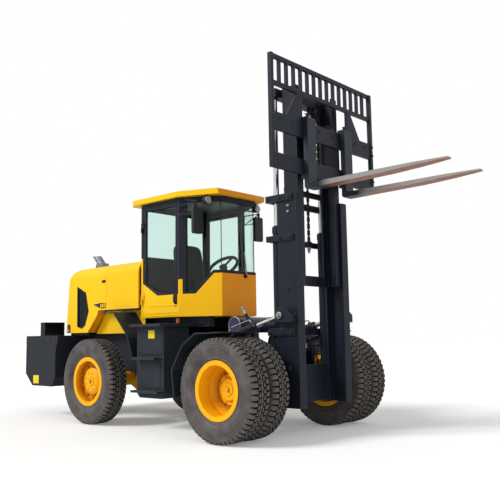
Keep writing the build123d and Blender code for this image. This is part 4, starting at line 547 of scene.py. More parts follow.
class Shape:
    """Collects the faces of one piece, in row metres."""

    # The turn between faces that shows as an edge.
    SHARP_TURN = math.radians(32)
    # The least that a tube's radius is divided by at a bend, and a slab's inset at a corner.
    TUBE_BEND = 0.6
    SLAB_CORNER = 0.3
    # A bolt's washer and head: heights in widths across the flats, radii in the head's corner radius.
    WASHER = ((0.1, 1.15), (0.14, 1.08))
    HEAD = ((0.1, 1.0), (0.58, 1.0), (0.7, 0.84))
    # Where a washer starts, just under its surface, and the radii of a chain anchor's thread and nuts.
    WASHER_FOOT = -1.0
    THREAD_R = 12.0
    NUT_R = 21.0
    BROKEN_EDGE = 3.0

    def __init__(self) -> None:
        """Starts with nothing."""
        self.points: list[Vector] = []
        self.faces: list[list[int]] = []
        self.tints: list[int] = []

    def skin(self, rings: Sequence[Sequence[Vector]], tint: int | Sequence[int] = 0,
             loop: bool = False) -> None:
        """Joins rings of points by quads, with the end rings closed by one face each.

        Args:
            rings: Rings of equally many points.
            tint: The finish's number, or one for each place round the ring.
            loop: Whether the last ring meets the first.
        """
        first, count = len(self.points), len(rings[0])
        tints = [tint] * count if isinstance(tint, int) else tint
        for ring in rings:
            self.points += ring
        for i in range(len(rings) if loop else len(rings) - 1):
            a, b = first + i * count, first + (i + 1) % len(rings) * count
            for j in range(count):
                k = (j + 1) % count
                self.faces.append([a + j, a + k, b + k, b + j])
                self.tints.append(tints[j])
        if not loop:
            for start in (first, first + (len(rings) - 1) * count):
                self.faces.append(list(range(start, start + count)))
                self.tints.append(tints[0])

    def lathe(self, base: Vector, axis: Vector, profile: Sequence[tuple[float, float]], sides: int = 24,
              tint: int = 0) -> None:
        """Turns a profile about an axis.

        Args:
            base: The axis's start.
            axis: Its direction.
            profile: Distance along the axis and radius, in millimetres.
            sides: Facets round it.
            tint: The finish's number.
        """
        along = axis.normalized()
        across = along.orthogonal().normalized()
        other = along.cross(across)
        turns = [2 * math.pi * (k + 0.5) / sides for k in range(sides)]
        spokes = [across * math.cos(turn) + other * math.sin(turn) for turn in turns]
        self.skin([[base + along * d * MM + spoke * r * MM for spoke in spokes] for d, r in profile], tint)

    def tube(self, path: Sequence[Vector], radius: float, sides: int = 10, tint: int = 0,
             closed: bool = False) -> None:
        """Sweeps a round section along a path.

        Args:
            path: Points in row metres.
            radius: Millimetres.
            sides: Facets round it.
            tint: The finish's number.
            closed: Whether the path ends where it starts.
        """
        count = len(path)
        turns = [2 * math.pi * k / sides for k in range(sides)]
        across: Vector | None = None
        rings = []
        for i, point in enumerate(path):
            ahead = path[(i + 1) % count] if closed or i < count - 1 else point
            behind = path[i - 1] if closed or i > 0 else point
            run = (ahead - behind).normalized()
            across = run.orthogonal() if across is None else across - run * across.dot(run)
            across.normalize()
            other = run.cross(across)
            spread = radius * MM
            if behind != point and ahead != point:
                spread /= max(self.TUBE_BEND, (point - behind).normalized().dot(run))
            rings.append([point + (across * math.cos(turn) + other * math.sin(turn)) * spread
                          for turn in turns])
        self.skin(rings, tint, loop=closed)

    def slab(self, outline: Sequence[tuple[float, float]], place: Matrix, depth: float, chamfer: float = 0.0,
             tint: int = 0) -> None:
        """Raises an outline to a plate with its upper edge broken.

        Args:
            outline: Corners in millimetres, turning to the left.
            place: Sets the outline's plane in the row frame.
            depth: Thickness in millimetres.
            chamfer: Width of the broken edge in millimetres.
            tint: The finish's number.
        """
        corners = [Vector(point) for point in outline]
        inset = []
        for i, point in enumerate(corners):
            before = (point - corners[i - 1]).normalized()
            after = (corners[(i + 1) % len(corners)] - point).normalized()
            inward = Vector((-before.y - after.y, before.x + after.x))
            inset.append(point + inward * chamfer / max(self.SLAB_CORNER, 1 + before.dot(after)))
        levels = [(corners, 0.0), (corners, depth - chamfer), (inset, depth)]
        self.skin([[place @ Vector((p.x * MM, p.y * MM, w * MM)) for p in ring] for ring, w in levels], tint)

    def block(self, low: tuple[float, float, float], high: tuple[float, float, float], chamfer: float = 2.0,
              tint: int = 0) -> None:
        """Adds a box with all its edges broken.

        Args:
            low: Lowest corner in the source's millimetres.
            high: Highest corner.
            chamfer: Width of the broken edges.
            tint: The finish's number.
        """
        (x0, y0, foot), (x1, y1, top) = low, high
        rings = []
        for z, inset in ((foot, chamfer), (foot + chamfer, 0.0), (top - chamfer, 0.0), (top, chamfer)):
            rear, front, right, left = x0 + inset, x1 - inset, y0 + inset, y1 - inset
            rings.append([spot(x, y, z) for x, y in (
                (rear + chamfer, right), (front - chamfer, right), (front, right + chamfer),
                (front, left - chamfer), (front - chamfer, left), (rear + chamfer, left),
                (rear, left - chamfer), (rear, right + chamfer))])
        self.skin(rings, tint)

    def bolt(self, base: Vector, axis: Vector, flats: float, tint: int = 0) -> None:
        """Adds a hexagon head on its washer.

        Args:
            base: Where the washer sits.
            axis: Out of the surface.
            flats: Width across the flats in millimetres.
            tint: The finish's number.
        """
        r = flats / math.sqrt(3)
        washer, head = ([(high * flats, wide * r) for high, wide in part]
                        for part in (self.WASHER, self.HEAD))
        self.lathe(base, axis, [(self.WASHER_FOOT, washer[0][1]), *washer], 16, tint)
        self.lathe(base, axis, head, 6, tint)

    def panel(self, corners: Sequence[tuple[float, float]], side: Side, y: float, depth: float,
              chamfer: float = 0.0, tint: int = 0) -> None:
        """Raises a plate on a wall that faces to one side.

        Args:
            corners: Station and height of each corner, turning to the left as seen from the right.
            side: Where the wall faces.
            y: The wall's distance from the middle, in millimetres.
            depth: Thickness in millimetres.
            chamfer: Width of the broken edge in millimetres.
            tint: The finish's number.
        """
        out = side.value
        outline = [(-out * x, z) for x, z in corners]
        if out > 0:
            outline.reverse()
        self.slab(outline, upright(0, out * y, 0, out), depth, chamfer, tint)

    def plate(self, size: tuple[float, float, float], middle: tuple[float, float, float], side: Side,
              depth: float, chamfer: float = 0.0, tint: int = 0) -> None:
        """Raises a plate with rounded corners on a wall that faces to one side.

        Args:
            size: Length, height and corner radius in millimetres.
            middle: Station, distance from the machine's middle and height, in millimetres.
            side: Where the wall faces.
            depth: Thickness in millimetres.
            chamfer: Width of the broken edge in millimetres.
            tint: The finish's number.
        """
        x, y, z = middle
        out = side.value
        self.slab(oblong(*size), upright(x, out * y, z, out), depth, chamfer, tint)

    def hose(self, route: Sequence[Vector], radius: float, steps: int,
             ferrule: Sequence[tuple[float, float]], sides: int) -> None:
        """Adds a hose with a ferrule at either end.

        Args:
            route: Control points in row metres.
            radius: Millimetres.
            steps: Points per span of the route.
            ferrule: Distance from the end and radius, in millimetres.
            sides: Facets round a ferrule.
        """
        self.tube(bowed(route, steps), radius)
        for end, inner in ((route[0], route[1]), (route[-1], route[-2])):
            self.lathe(end, inner - end, ferrule, sides, 1)

    def anchor(self, base: Vector, length: float, nut: float, drops: Sequence[float]) -> None:
        """Adds a chain anchor's threaded end with its nuts, pointing down.

        Args:
            base: Where the thread comes out.
            length: Of the thread, in millimetres.
            nut: Height of a nut.
            drops: How far down each nut starts.
        """
        thread, broken = self.THREAD_R, self.BROKEN_EDGE
        self.lathe(base, -UP, ((-broken, thread), (length - 4, thread), (length, thread - broken)), 14, 1)
        profile = ((0, self.NUT_R), (nut, self.NUT_R), (nut + 2, self.NUT_R - broken))
        for drop in drops:
            self.lathe(base - UP * drop * MM, -UP, profile, 6, 1)

    def make(self, name: str, surfaces: Sequence[Surface], body: str, slot: Slot,
             stands_for: Sequence[str] = ()) -> bpy.types.Object:
        """Makes the piece, dresses it and lets it ride.

        Args:
            name: The piece's name.
            surfaces: Its finishes in the order of their numbers.
            body: The body that it rides on, or nothing for a piece that rides on none.
            slot: The record's slot for it; not used.
            stands_for: Nodes that it replaces.

        Returns:
            The piece's object.
        """
        mesh = bpy.data.meshes.new(name)
        mesh.from_pydata(self.points, [], self.faces)
        for surface in surfaces:
            mesh.materials.append(surface.material())
        mesh.polygons.foreach_set("material_index", self.tints)
        mesh.polygons.foreach_set("use_smooth", [True] * len(mesh.polygons))
        work = bmesh.new()
        work.from_mesh(mesh)
        bmesh.ops.recalc_face_normals(work, faces=work.faces)
        work.to_mesh(mesh)
        work.free()
        mesh.set_sharp_from_angle(angle=self.SHARP_TURN)
        piece = bpy.data.objects.new(name, mesh)
        bpy.context.collection.objects.link(piece)
        if body:
            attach(piece, body)
        if stands_for:
            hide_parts(*stands_for)
        LOG.info("%s: %d faces on %s", name, len(mesh.polygons), body or "two bodies")
        return piece


@dataclass
class WheelSet:
    """One wheel body: its tyres with a road tread, its nuts and its hub's bolts."""

    name: str
    side: Side
    axle_x: float
    tyre_ys: tuple[float, ...]
    nut_y: float
    nut_ring: float
    cover_y: float
    cover_ring: float
    plug_y: float
    tyre_node: str
    axle_z: float = 511.0
    pitches: int = 54
    groove_r: float = 497.5
    crown_r: float = 510.8
    crown_drop: float = 3.0
    cut_shade_r: float = 504.5
    zigzag: float = 4.5
    nuts: int = 10
    nut_flats: float = 27.0
    cover_bolts: int = 8
    cover_flats: float = 12.0
    plug_flats: float = 32.0
    plug_seat: float = 4.0

    # Radius and half width up the sidewall, with its rim guard and scuff rings.
    WALL = (
        (257.0, 60.0), (257.0, 90.0), (292.0, 92.4), (297.0, 98.0), (304.0, 105.0), (312.0, 108.6),
        (318.0, 108.8), (322.0, 107.0), (328.0, 110.5), (342.0, 117.0), (358.0, 122.0), (376.0, 125.6),
        (396.0, 127.0), (416.0, 126.2), (432.0, 124.6), (435.0, 122.4), (440.0, 122.2), (443.0, 123.8),
        (456.0, 122.2), (459.0, 120.2), (464.0, 120.0), (467.0, 121.2), (478.0, 119.2),
    )
    # Radius and half width of the shoulder, whole and where a notch crosses it.
    SHOULDER = ((498.0, 108.4), (508.0, 98.5))
    NOTCHED_SHOULDER = ((486.0, 113.0), (495.0, 101.0))
    # Half widths of the tread's edge and of each groove's lips and floor, from the shoulder inward.
    TREAD_EDGE = 94.0
    OUTER_GROOVE = (58.0, 54.5, 47.5, 44.0)
    INNER_GROOVE = (24.0, 20.5, 14.5, 11.0)
    # How deep the notches go in the shoulder, the ribs and the middle, and more than any groove's depth.
    SHOULDER_NOTCH = 13.0
    RIB_NOTCH = 8.0
    MIDDLE_NOTCH = 5.0
    TO_FLOOR = 99.0
    # Parts of a pitch at which the tread is cut, so that every notch has steep walls.
    CUTS = (0.0, 0.06, 0.3, 0.36, 0.5, 0.56, 0.8, 0.86)
    NOTCH_CUTS = (1, 2)
    RIB_CUTS = (5, 6)
    # Numbers of the finishes on the wall, on the tread's tops and in its cuts, which are painted dark as
    # shade.
    ON_WALL = 0
    ON_TOP = 1
    SHADED_CUT = 2
    # Distance out and radius of a wheel stud's end and of the hub's plug.
    STUD = ((10, 8), (26, 8), (29, 5))
    PLUG = ((-2, 62), (4, 62), (7, 58), (7, 40), (4, 36), (4, 25))

    def half_tread(self, cut: int) -> list[tuple[float, float]]:
        """Draws half of the tread's section.

        Args:
            cut: Which cut of the pitch it is at.

        Returns:
            Radius and distance from the tyre's middle, from the shoulder inward.
        """
        notch, rib = cut in self.NOTCH_CUTS, cut in self.RIB_CUTS
        shift = self.zigzag * (4 * abs(self.CUTS[cut] - 0.5) - 1)
        shoulder, middle = notch * self.SHOULDER_NOTCH, notch * self.MIDDLE_NOTCH
        between = rib * self.RIB_NOTCH
        stations = [(self.TREAD_EDGE, shoulder)]
        for groove, way, before, after in ((self.OUTER_GROOVE, shift, shoulder, between),
                                           (self.INNER_GROOVE, -shift, between, middle)):
            drops = (before, self.TO_FLOOR, self.TO_FLOOR, after)
            stations += [(y + way, drop) for y, drop in zip(groove, drops)]
        crowned = []
        for y, drop in stations:
            top = self.crown_r - self.crown_drop * (y / self.TREAD_EDGE) ** 2
            crowned.append((max(self.groove_r, top - drop), y))
        return [*(self.NOTCHED_SHOULDER if notch else self.SHOULDER), *crowned]

    def section(self, cut: int) -> list[tuple[float, float]]:
        """Draws the tyre's whole section at a cut, its far half half a pitch on.

        Args:
            cut: Which cut of the pitch it is at.

        Returns:
            Radius and distance from the tyre's middle, once round.
        """
        count = len(self.CUTS)
        near = [*self.WALL, *self.half_tread(cut)]
        far = [*self.WALL, *self.half_tread((cut + count // 2) % count)]
        return near + [(r, -y) for r, y in reversed(far)]

    def on_wheel(self, radius: float, turn: float, y: float) -> Vector:
        """Finds a point on the wheel.

        Args:
            radius: Distance from the axle in millimetres.
            turn: Angle round the axle in radians.
            y: The source's y in millimetres.

        Returns:
            The point in the row frame.
        """
        return spot(self.axle_x + radius * math.cos(turn), y, self.axle_z + radius * math.sin(turn))

    def tyres(self) -> None:
        """Makes the tyres, the tread's tops pale and its cuts painted dark as shade."""
        shape = Shape()
        sections = [self.section(cut) for cut in range(len(self.CUTS))]
        wall, count = len(self.WALL), len(sections[0])
        tints = [self.ON_WALL if j < wall - 1 or j >= count - wall else self.ON_TOP for j in range(count)]
        for tyre_y in self.tyre_ys:
            rings = []
            for pitch in range(self.pitches):
                for part, section in zip(self.CUTS, sections):
                    turn = 2 * math.pi * (pitch + part) / self.pitches
                    rings.append([self.on_wheel(r, turn, self.side.value * tyre_y + y) for r, y in section])
            shape.skin(rings, tints, loop=True)
        for k, face in enumerate(shape.faces):
            across = k % count
            place = min(across, count - 2 - across)
            notch = self.NOTCH_CUTS[0] if across < wall + 2 else self.RIB_CUTS[0]
            if place >= wall + 1:
                middle = sum((shape.points[i] for i in face), Vector()) / 4
                middle -= spot(self.axle_x, 0, self.axle_z)
                if math.hypot(middle.x, middle.z) < self.cut_shade_r * MM:
                    shape.tints[k] = self.SHADED_CUT
            elif place >= wall - 1 and k // count % len(self.CUTS) == notch:
                shape.tints[k] = self.SHADED_CUT
        shape.make(f"{self.name}_tread_tyres", (Surface.SIDEWALL, Surface.TREAD, Surface.GROOVE_SHADE),
                   f"{self.name}_wheel", Slot.RUBBER, (self.tyre_node,))

    def bolts(self) -> None:
        """Makes the wheel nuts on their studs, the cover's bolts and the hub's plug."""
        shape = Shape()
        sign = self.side.value
        out = LEFT * sign
        for count, ring, y, flats, profile in (
            (self.nuts, self.nut_ring, self.nut_y, self.nut_flats, self.STUD),
            (self.cover_bolts, self.cover_ring, self.cover_y, self.cover_flats, ()),
        ):
            for k in range(count):
                base = self.on_wheel(ring, 2 * math.pi * (k + 0.5) / count, sign * y)
                shape.bolt(base, out, flats)
                if profile:
                    shape.lathe(base, out, profile, 10)
        centre = spot(self.axle_x, sign * self.plug_y, self.axle_z)
        shape.lathe(centre, out, self.PLUG, 32)
        shape.bolt(centre + out * self.plug_seat * MM, out, self.plug_flats)
        shape.make(f"{self.name}_hub_bolts", (Surface.RIM,), f"{self.name}_wheel", Slot.YELLOW)

    def build(self) -> None:
        """Makes the tyres and the bolts."""
        self.tyres()
        self.bolts()


@dataclass
class HoodFittings:
    """Screens, vents, latches and lamps on the engine hood, and the skins round its wheel arches."""

    half_w: float = 580.0
    wall: float = 22.0
    bezel_r: float = 7.0
    bezel_inset: float = 0.02
    screen_t: float = 3.0
    screen_gap: float = 5.0
    latch_x: float = -2575.0
    latch_z: float = 1754.0
    lamp_x: float = -3352.0
    lamp_z: float = 1158.0
    lens_rise: float = 27.0
    liner_y: float = 452.0
    liner_t: float = 2.5
    return_in_y: float = 300.0
    return_back: float = 34.0
    seal_edge: float = 3.0
    # Corners by station and height: the side opening, the vent's dart, the arch's return and its liner.
    OPENING = ((-3160.0, 1715.0), (-2975.0, 1630.0), (-2905.0, 1380.0), (-2985.0, 1195.0),
               (-3060.0, 1160.0), (-3145.0, 1180.0))
    VENT = ((-2800.0, 1462.0), (-2632.0, 1404.0), (-2535.0, 1408.0), (-2527.0, 1474.0), (-2632.0, 1480.0))
    ARCH_RETURN = ((-2926.0, 1102.0), (-2711.0, 1331.0), (-2691.0, 1386.0))
    LINER = ((-2897.0, 1084.0), (-1888.0, 1084.0), (-1888.0, 1371.0), (-2699.0, 1371.0))
    # How far the screen reaches past the opening, along and up.
    SCREEN_REACH = (1.12, 1.1)
    # The first louvre's corners, the step to the next and how many there are.
    LOUVRE = ((-2640.0, 1412.0), (-2618.0, 1412.0), (-2614.0, 1462.0), (-2636.0, 1462.0))
    LOUVRE_STEP = (36.0, 4.0)
    LOUVRES = 3
    # The sill seal's ends, edges from the middle, foot and head; the tail strip's ends and half width.
    SILL_X = (-3362.0, -2932.0)
    SILL_Y = (530.0, 545.0)
    SILL_Z = (1068.0, 1099.0)
    TAIL_X = (-3345.0, -3330.0)
    TAIL_HALF_W = 540.0

    def arches(self) -> None:
        """Makes the hood's returns round the wheel arch, the liner's painted skin and the sill's seal."""
        returns, skins, sill = Shape(), Shape(), Shape()
        foot, head = self.SILL_Z
        for side in Side:
            s = side.value
            for y0, y1, back in ((self.half_w - 3, self.liner_y + 12, 0.0),
                                 (self.liner_y + 14, self.return_in_y, self.return_back)):
                rings = []
                for x, z in self.ARCH_RETURN:
                    x -= back
                    rings.append([spot(x, s * y0, z), spot(x, s * y1, z), spot(x - 5, s * y1, z + 2),
                                  spot(x - 5, s * y0, z + 2)])
                returns.skin(rings)
            skins.panel(self.LINER, side, self.liner_y - 0.5, self.liner_t)
            low, high = sorted(s * y for y in self.SILL_Y)
            sill.block((self.SILL_X[0], low, foot), (self.SILL_X[1], high, head), self.seal_edge)
        sill.block((self.TAIL_X[0], -self.TAIL_HALF_W, foot), (self.TAIL_X[1], self.TAIL_HALF_W, head),
                   self.seal_edge)
        returns.make("hood_arch_returns", (Surface.YELLOW,), "hood", Slot.YELLOW)
        skins.make("arch_liner_skins", (Surface.YELLOW,), "rear_frame", Slot.YELLOW)
        sill.make("hood_sill_seal", (Surface.SEAL,), "rear_frame", Slot.PLASTIC)

    def grilles(self) -> None:
        """Makes the rubber bezel and the dark screen of each side opening."""
        bezel, screen = Shape(), Shape()
        corners = len(self.OPENING)
        mid_x = sum(x for x, z in self.OPENING) / corners
        mid_z = sum(z for x, z in self.OPENING) / corners
        reach_x, reach_z = self.SCREEN_REACH
        inset = self.bezel_inset
        far = [(mid_x + reach_x * (x - mid_x), mid_z + reach_z * (z - mid_z)) for x, z in self.OPENING]
        for side in Side:
            rim = [spot(x + (mid_x - x) * inset, side.value * (self.half_w + 1), z + (mid_z - z) * inset)
                   for x, z in self.OPENING]
            bezel.tube(rim, self.bezel_r, 8, closed=True)
            screen.panel(far[::-1], side, self.half_w - self.wall - self.screen_gap, self.screen_t)
        bezel.make("side_grille_bezels", (Surface.SEAL,), "hood", Slot.PLASTIC)
        screen.make("side_grille_screens", (Surface.PLASTIC,), "hood", Slot.PLASTIC)

    def latches(self) -> None:
        """Makes the hood's latches: a dished plate with its paddle."""
        shape = Shape()
        for side in Side:
            shape.plate((86, 36, 17), (self.latch_x, self.half_w - 1, self.latch_z), side, 6, 2)
            shape.plate((56, 16, 7), (self.latch_x, self.half_w + 5, self.latch_z), side, 9, 3)
        shape.make("hood_latches", (Surface.PLASTIC,), "hood", Slot.PLASTIC)

    def vents(self) -> None:
        """Makes the dart shaped vents with their louvres."""
        shape = Shape()
        step_x, step_z = self.LOUVRE_STEP
        for side in Side:
            # The vent's dark plate stands where the recessed vent lies in shade: a painted shade under
            # yellow louvres.
            shape.panel(self.VENT, side, self.half_w - 1, 3, 1)
            for k in range(self.LOUVRES):
                louvre = [(x + k * step_x, z + k * step_z) for x, z in self.LOUVRE]
                shape.panel(louvre, side, self.half_w + 1, 4, 2, 1)
        shape.make("hood_side_vents", (Surface.PLASTIC, Surface.YELLOW), "hood", Slot.PLASTIC)

    def lamps(self) -> None:
        """Makes the tail lamps: a housing with a red lens over a clear one."""
        shape = Shape()
        for side in Side:
            shape.plate((58, 116, 10), (self.lamp_x, self.half_w - 2, self.lamp_z), side, 12, 3)
            for rise, tint in ((self.lens_rise, 1), (-self.lens_rise, 2)):
                middle = (self.lamp_x, self.half_w + 9, self.lamp_z + rise)
                shape.plate((46, 48, 8), middle, side, 9, 4, tint)
        shape.make("hood_tail_lamps", (Surface.PLASTIC, Surface.RED, Surface.CLEAR), "hood", Slot.PLASTIC)

    def build(self) -> None:
        """Makes the pieces of both sides."""
        self.arches()
        self.grilles()
        self.latches()
        self.vents()
        self.lamps()


@dataclass
class CabFittings:
    """Window seals, linings, door furniture, lamps, mirrors and wiper of the cab."""

    half_w: float = 550.0
    rear_x: float = -1850.0
    corner_x: float = -1160.0
    front_x: float = -720.0
    nose_half_w: float = 290.0
    sill_z: float = 1778.0
    window_top: float = 2590.0
    seal_r: float = 10.0
    joint_r: float = 4.0
    joint_y: float = 280.0
    front_seal_y: float = 278.0
    door_seal_y: float = 536.0
    rear_seal_y: float = 490.0
    rear_sill_z: float = 2000.0
    lining_foot: float = 1306.0
    lining_edge: float = 1.5
    door_lining_y: float = 506.5
    mat_z: float = 1300.5
    handle_x: float = -1222.0
    handle_z: float = 1470.0
    lock_z: float = 1386.0
    bead_end_x: float = -1200.0
    lamp_x: float = -796.0
    lamp_y: float = 425.0
    lamp_z: float = 2588.0
    mirror_x: float = -897.5
    mirror_y: float = 525.0
    mirror_z: float = 2347.0
    bracket_y: float = 560.0
    # Corners by station and height: the door's window and a clipped corner's, which is open at the front.
    DOOR_PANE = ((-1220.0, 1545.0), (-1220.0, 2560.0), (-1770.0, 2560.0), (-1770.0, 1680.0),
                 (-1535.0, 1545.0))
    QUARTER_PANE = ((-738.0, 1778.0), (-812.0, 1778.0), (-1000.0, 1548.0), (-1100.0, 1548.0),
                    (-1100.0, 2590.0), (-738.0, 2590.0))
    # Linings: a door's corners, a clipped corner's stations with their heights, and the mat's plan.
    DOOR_TRIM = ((-1800.0, 1290.0), (-1195.0, 1290.0), (-1195.0, 1530.0), (-1539.0, 1530.0),
                 (-1774.0, 1665.0), (-1800.0, 1665.0))
    QUARTER_TRIM = ((-1132.0, 1532.0), (-1006.0, 1532.0), (-818.0, 1762.0), (-756.0, 1762.0))
    QUARTER_TRIM_DEPTHS = (40.5, 45.0)
    MAT = ((-1803.0, -502.0), (-1150.0, -502.0), (-772.0, -262.0), (-772.0, 262.0), (-1150.0, 502.0),
           (-1803.0, 502.0))
    # Rear and front face, half width and head of the linings across the cab.
    CROSS_LININGS = ((-1809.5, -1803.5, 505.0, 1983.0), (-766.5, -760.5, 252.0, 1745.0))
    # Height and rear end of the beads pressed into a door, and where the upper one turns up.
    BEADS = ((1395.0, -1770.0), (1312.0, -1800.0))
    BEAD_TURN = ((-1770.0, 0.0, 1395.0), (-1792.0, 1.0, 1440.0), (-1796.0, 1.0, 1600.0))
    # Distance out and rise along a door's grip.
    GRIP = ((3, -52), (26, -46), (32, -20), (32, 20), (26, 46), (3, 52))
    # Corners of the amber marker lamp's housing.
    MARKER_X = (-1188.0, -1148.0)
    MARKER_Y = (549.0, 578.0)
    MARKER_Z = (1184.0, 1240.0)
    # Stations and heights of a mirror's bracket.
    BRACKET_X = (-1142.0, -888.0)
    BRACKET_Z = (2436.0, 2552.0)

    def quarter_y(self, x: float, depth: float) -> float:
        """Finds how far out the clipped corner's wall stands.

        Args:
            x: Station.
            depth: Distance in from its outer face.

        Returns:
            The distance from the middle, in millimetres.
        """
        slope = (self.half_w - self.nose_half_w) / (self.front_x - self.corner_x)
        return self.half_w - (x - self.corner_x) * slope - depth * math.hypot(1, slope)

    def seals(self) -> None:
        """Makes the rubber round every pane."""
        fixed = Shape()
        levels = (self.sill_z, self.window_top)
        for side in Side:
            s = side.value
            door = Shape()
            pane = [spot(x, s * self.door_seal_y, z) for x, z in self.DOOR_PANE]
            door.tube(pane, self.seal_r, 8, closed=True)
            door.make(f"door_{side.label}_seal", (Surface.SEAL,), f"door_{side.label}", Slot.PLASTIC)
            fixed.tube([spot(x, s * self.quarter_y(x, 12), z) for x, z in self.QUARTER_PANE], self.seal_r, 8)
            fixed.tube([spot(self.front_x - 19, s * self.joint_y, z) for z in levels], self.joint_r, 8)
        for z in levels:
            fixed.tube([spot(self.front_x - 17, s * self.front_seal_y, z) for s in (-1, 1)], self.seal_r, 8)
        half, low, high = self.rear_seal_y, self.rear_sill_z, self.window_top
        rear = ((-half, low), (half, low), (half, high), (-half, high))
        fixed.tube([spot(self.rear_x + 11, y, z) for y, z in rear], self.seal_r, 8, closed=True)
        fixed.make("window_seals", (Surface.SEAL,), "rear_frame", Slot.PLASTIC)

    def linings(self) -> None:
        """Makes the black linings inside the walls and doors and the floor mat."""
        trim = Shape()
        foot = self.lining_foot
        for side in Side:
            door = Shape()
            door.panel(self.DOOR_TRIM, side, self.door_lining_y, 5)
            door.make(f"door_{side.label}_lining", (Surface.PLASTIC,), f"door_{side.label}", Slot.PLASTIC)
            rings = []
            for x, head in self.QUARTER_TRIM:
                near, far = (side.value * self.quarter_y(x, depth) for depth in self.QUARTER_TRIM_DEPTHS)
                rings.append([spot(x, near, foot), spot(x, near, head), spot(x, far, head),
                              spot(x, far, foot)])
            trim.skin(rings)
        for rear, front, half, head in self.CROSS_LININGS:
            trim.block((rear, -half, foot), (front, half, head), self.lining_edge)
        trim.slab(self.MAT, Matrix.Translation(spot(0, 0, self.mat_z)), 5, 2, 1)
        trim.make("cab_linings", (Surface.PLASTIC, Surface.SEAL), "rear_frame", Slot.PLASTIC)

    def door_furniture(self) -> None:
        """Makes each door's pressed beads, handle and lock."""
        for side in Side:
            s = side.value
            beads, handle = Shape(), Shape()
            skin_y = self.half_w - 2
            for z, rear in self.BEADS:
                run = ((rear, 0), (rear + 8, 1.5), (self.bead_end_x - 8, 1.5), (self.bead_end_x, 0))
                beads.tube([spot(x, s * (skin_y + d), z) for x, d in run], 4.5, 8)
            beads.tube([spot(x, s * (skin_y + d), z) for x, d, z in self.BEAD_TURN], 4, 8)
            handle.plate((52, 130, 14), (self.handle_x, skin_y - 1, self.handle_z), side, 7, 3)
            grip = [spot(self.handle_x, s * (skin_y + d), self.handle_z + h) for d, h in self.GRIP]
            handle.tube(bowed(grip, 6), 9)
            handle.lathe(spot(self.handle_x, s * skin_y, self.lock_z), LEFT * s,
                         ((-1, 13), (5, 13), (7, 11), (7, 4)), 20, 1)
            beads.make(f"door_{side.label}_beads", (Surface.YELLOW,), f"door_{side.label}", Slot.YELLOW)
            handle.make(f"door_{side.label}_handle", (Surface.PLASTIC, Surface.ZINC), f"door_{side.label}",
                        Slot.PLASTIC)

    def lamps(self) -> None:
        """Makes the lenses and reflectors of the work and marker lamps."""
        shape = Shape()
        for side in Side:
            s = side.value
            face = spot(self.lamp_x, s * self.lamp_y, self.lamp_z)
            shape.lathe(face, AHEAD, ((-2, 45.5), (7, 45.5), (9, 43), (9, 38)), 28)
            shape.lathe(face, AHEAD, ((1, 38), (9.5, 38), (13, 30), (15, 16), (15.5, 5)), 28, 1)
            low, high = sorted(s * y for y in self.MARKER_Y)
            shape.block((self.MARKER_X[0], low, self.MARKER_Z[0]),
                        (self.MARKER_X[1], high, self.MARKER_Z[1]), 5, 2)
        shape.make("lamp_lenses", (Surface.ZINC, Surface.CLEAR, Surface.AMBER), "rear_frame", Slot.PLASTIC)

    def mirrors(self) -> None:
        """Makes the mirror plates and their tube brackets."""
        shape = Shape()
        rearward = Matrix((-LEFT, UP, -AHEAD)).transposed().to_4x4()
        root_x, tip_x = self.BRACKET_X
        for side in Side:
            s = side.value
            place = Matrix.Translation(spot(self.mirror_x, s * self.mirror_y, self.mirror_z)) @ rearward
            shape.slab(oblong(122, 282, 20), place, 3, 1)
            root = [spot(root_x, s * self.bracket_y, z) for z in self.BRACKET_Z]
            tip = [spot(tip_x, s * self.bracket_y, z) for z in self.BRACKET_Z]
            for path in ((root[0], tip[0]), (root[1], tip[1]), root, tip, (root[0], tip[1])):
                shape.tube(path, 7, 8, 1)
        shape.make("mirror_plates", (Surface.MIRROR, Surface.PLASTIC), "rear_frame", Slot.CHROME)

    def wiper(self) -> None:
        """Makes the windscreen's wiper: its motor cap, arm, blade and bow."""
        shape = Shape()
        x = self.front_x
        shape.lathe(spot(x - 2, 96, 1728), AHEAD, ((0, 24), (18, 22), (30, 15), (32, 8)), 20)
        for radius, tint, path in (
            (7, 1, ((24, 96, 1728), (26, 92, 1800), (20, 70, 2010))),
            (6, 0, ((4, 74, 1840), (5, 70, 2010), (4, 60, 2230))),
            (4, 0, ((12, 72, 1880), (20, 70, 2010), (12, 63, 2180))),
        ):
            shape.tube([spot(x + ahead, y, z) for ahead, y, z in path], radius, 8, tint)
        shape.make("windscreen_wiper", (Surface.SEAL, Surface.ZINC), "rear_frame", Slot.PLASTIC)

    def build(self) -> None:
        """Makes all of the cab's pieces."""
        self.seals()
        self.linings()
        self.door_furniture()
        self.lamps()
        self.mirrors()
        self.wiper()


def bent(value: float, power: float) -> float:
    """Raises a value to a power and keeps its sign."""
    return math.copysign(abs(value) ** power, value)


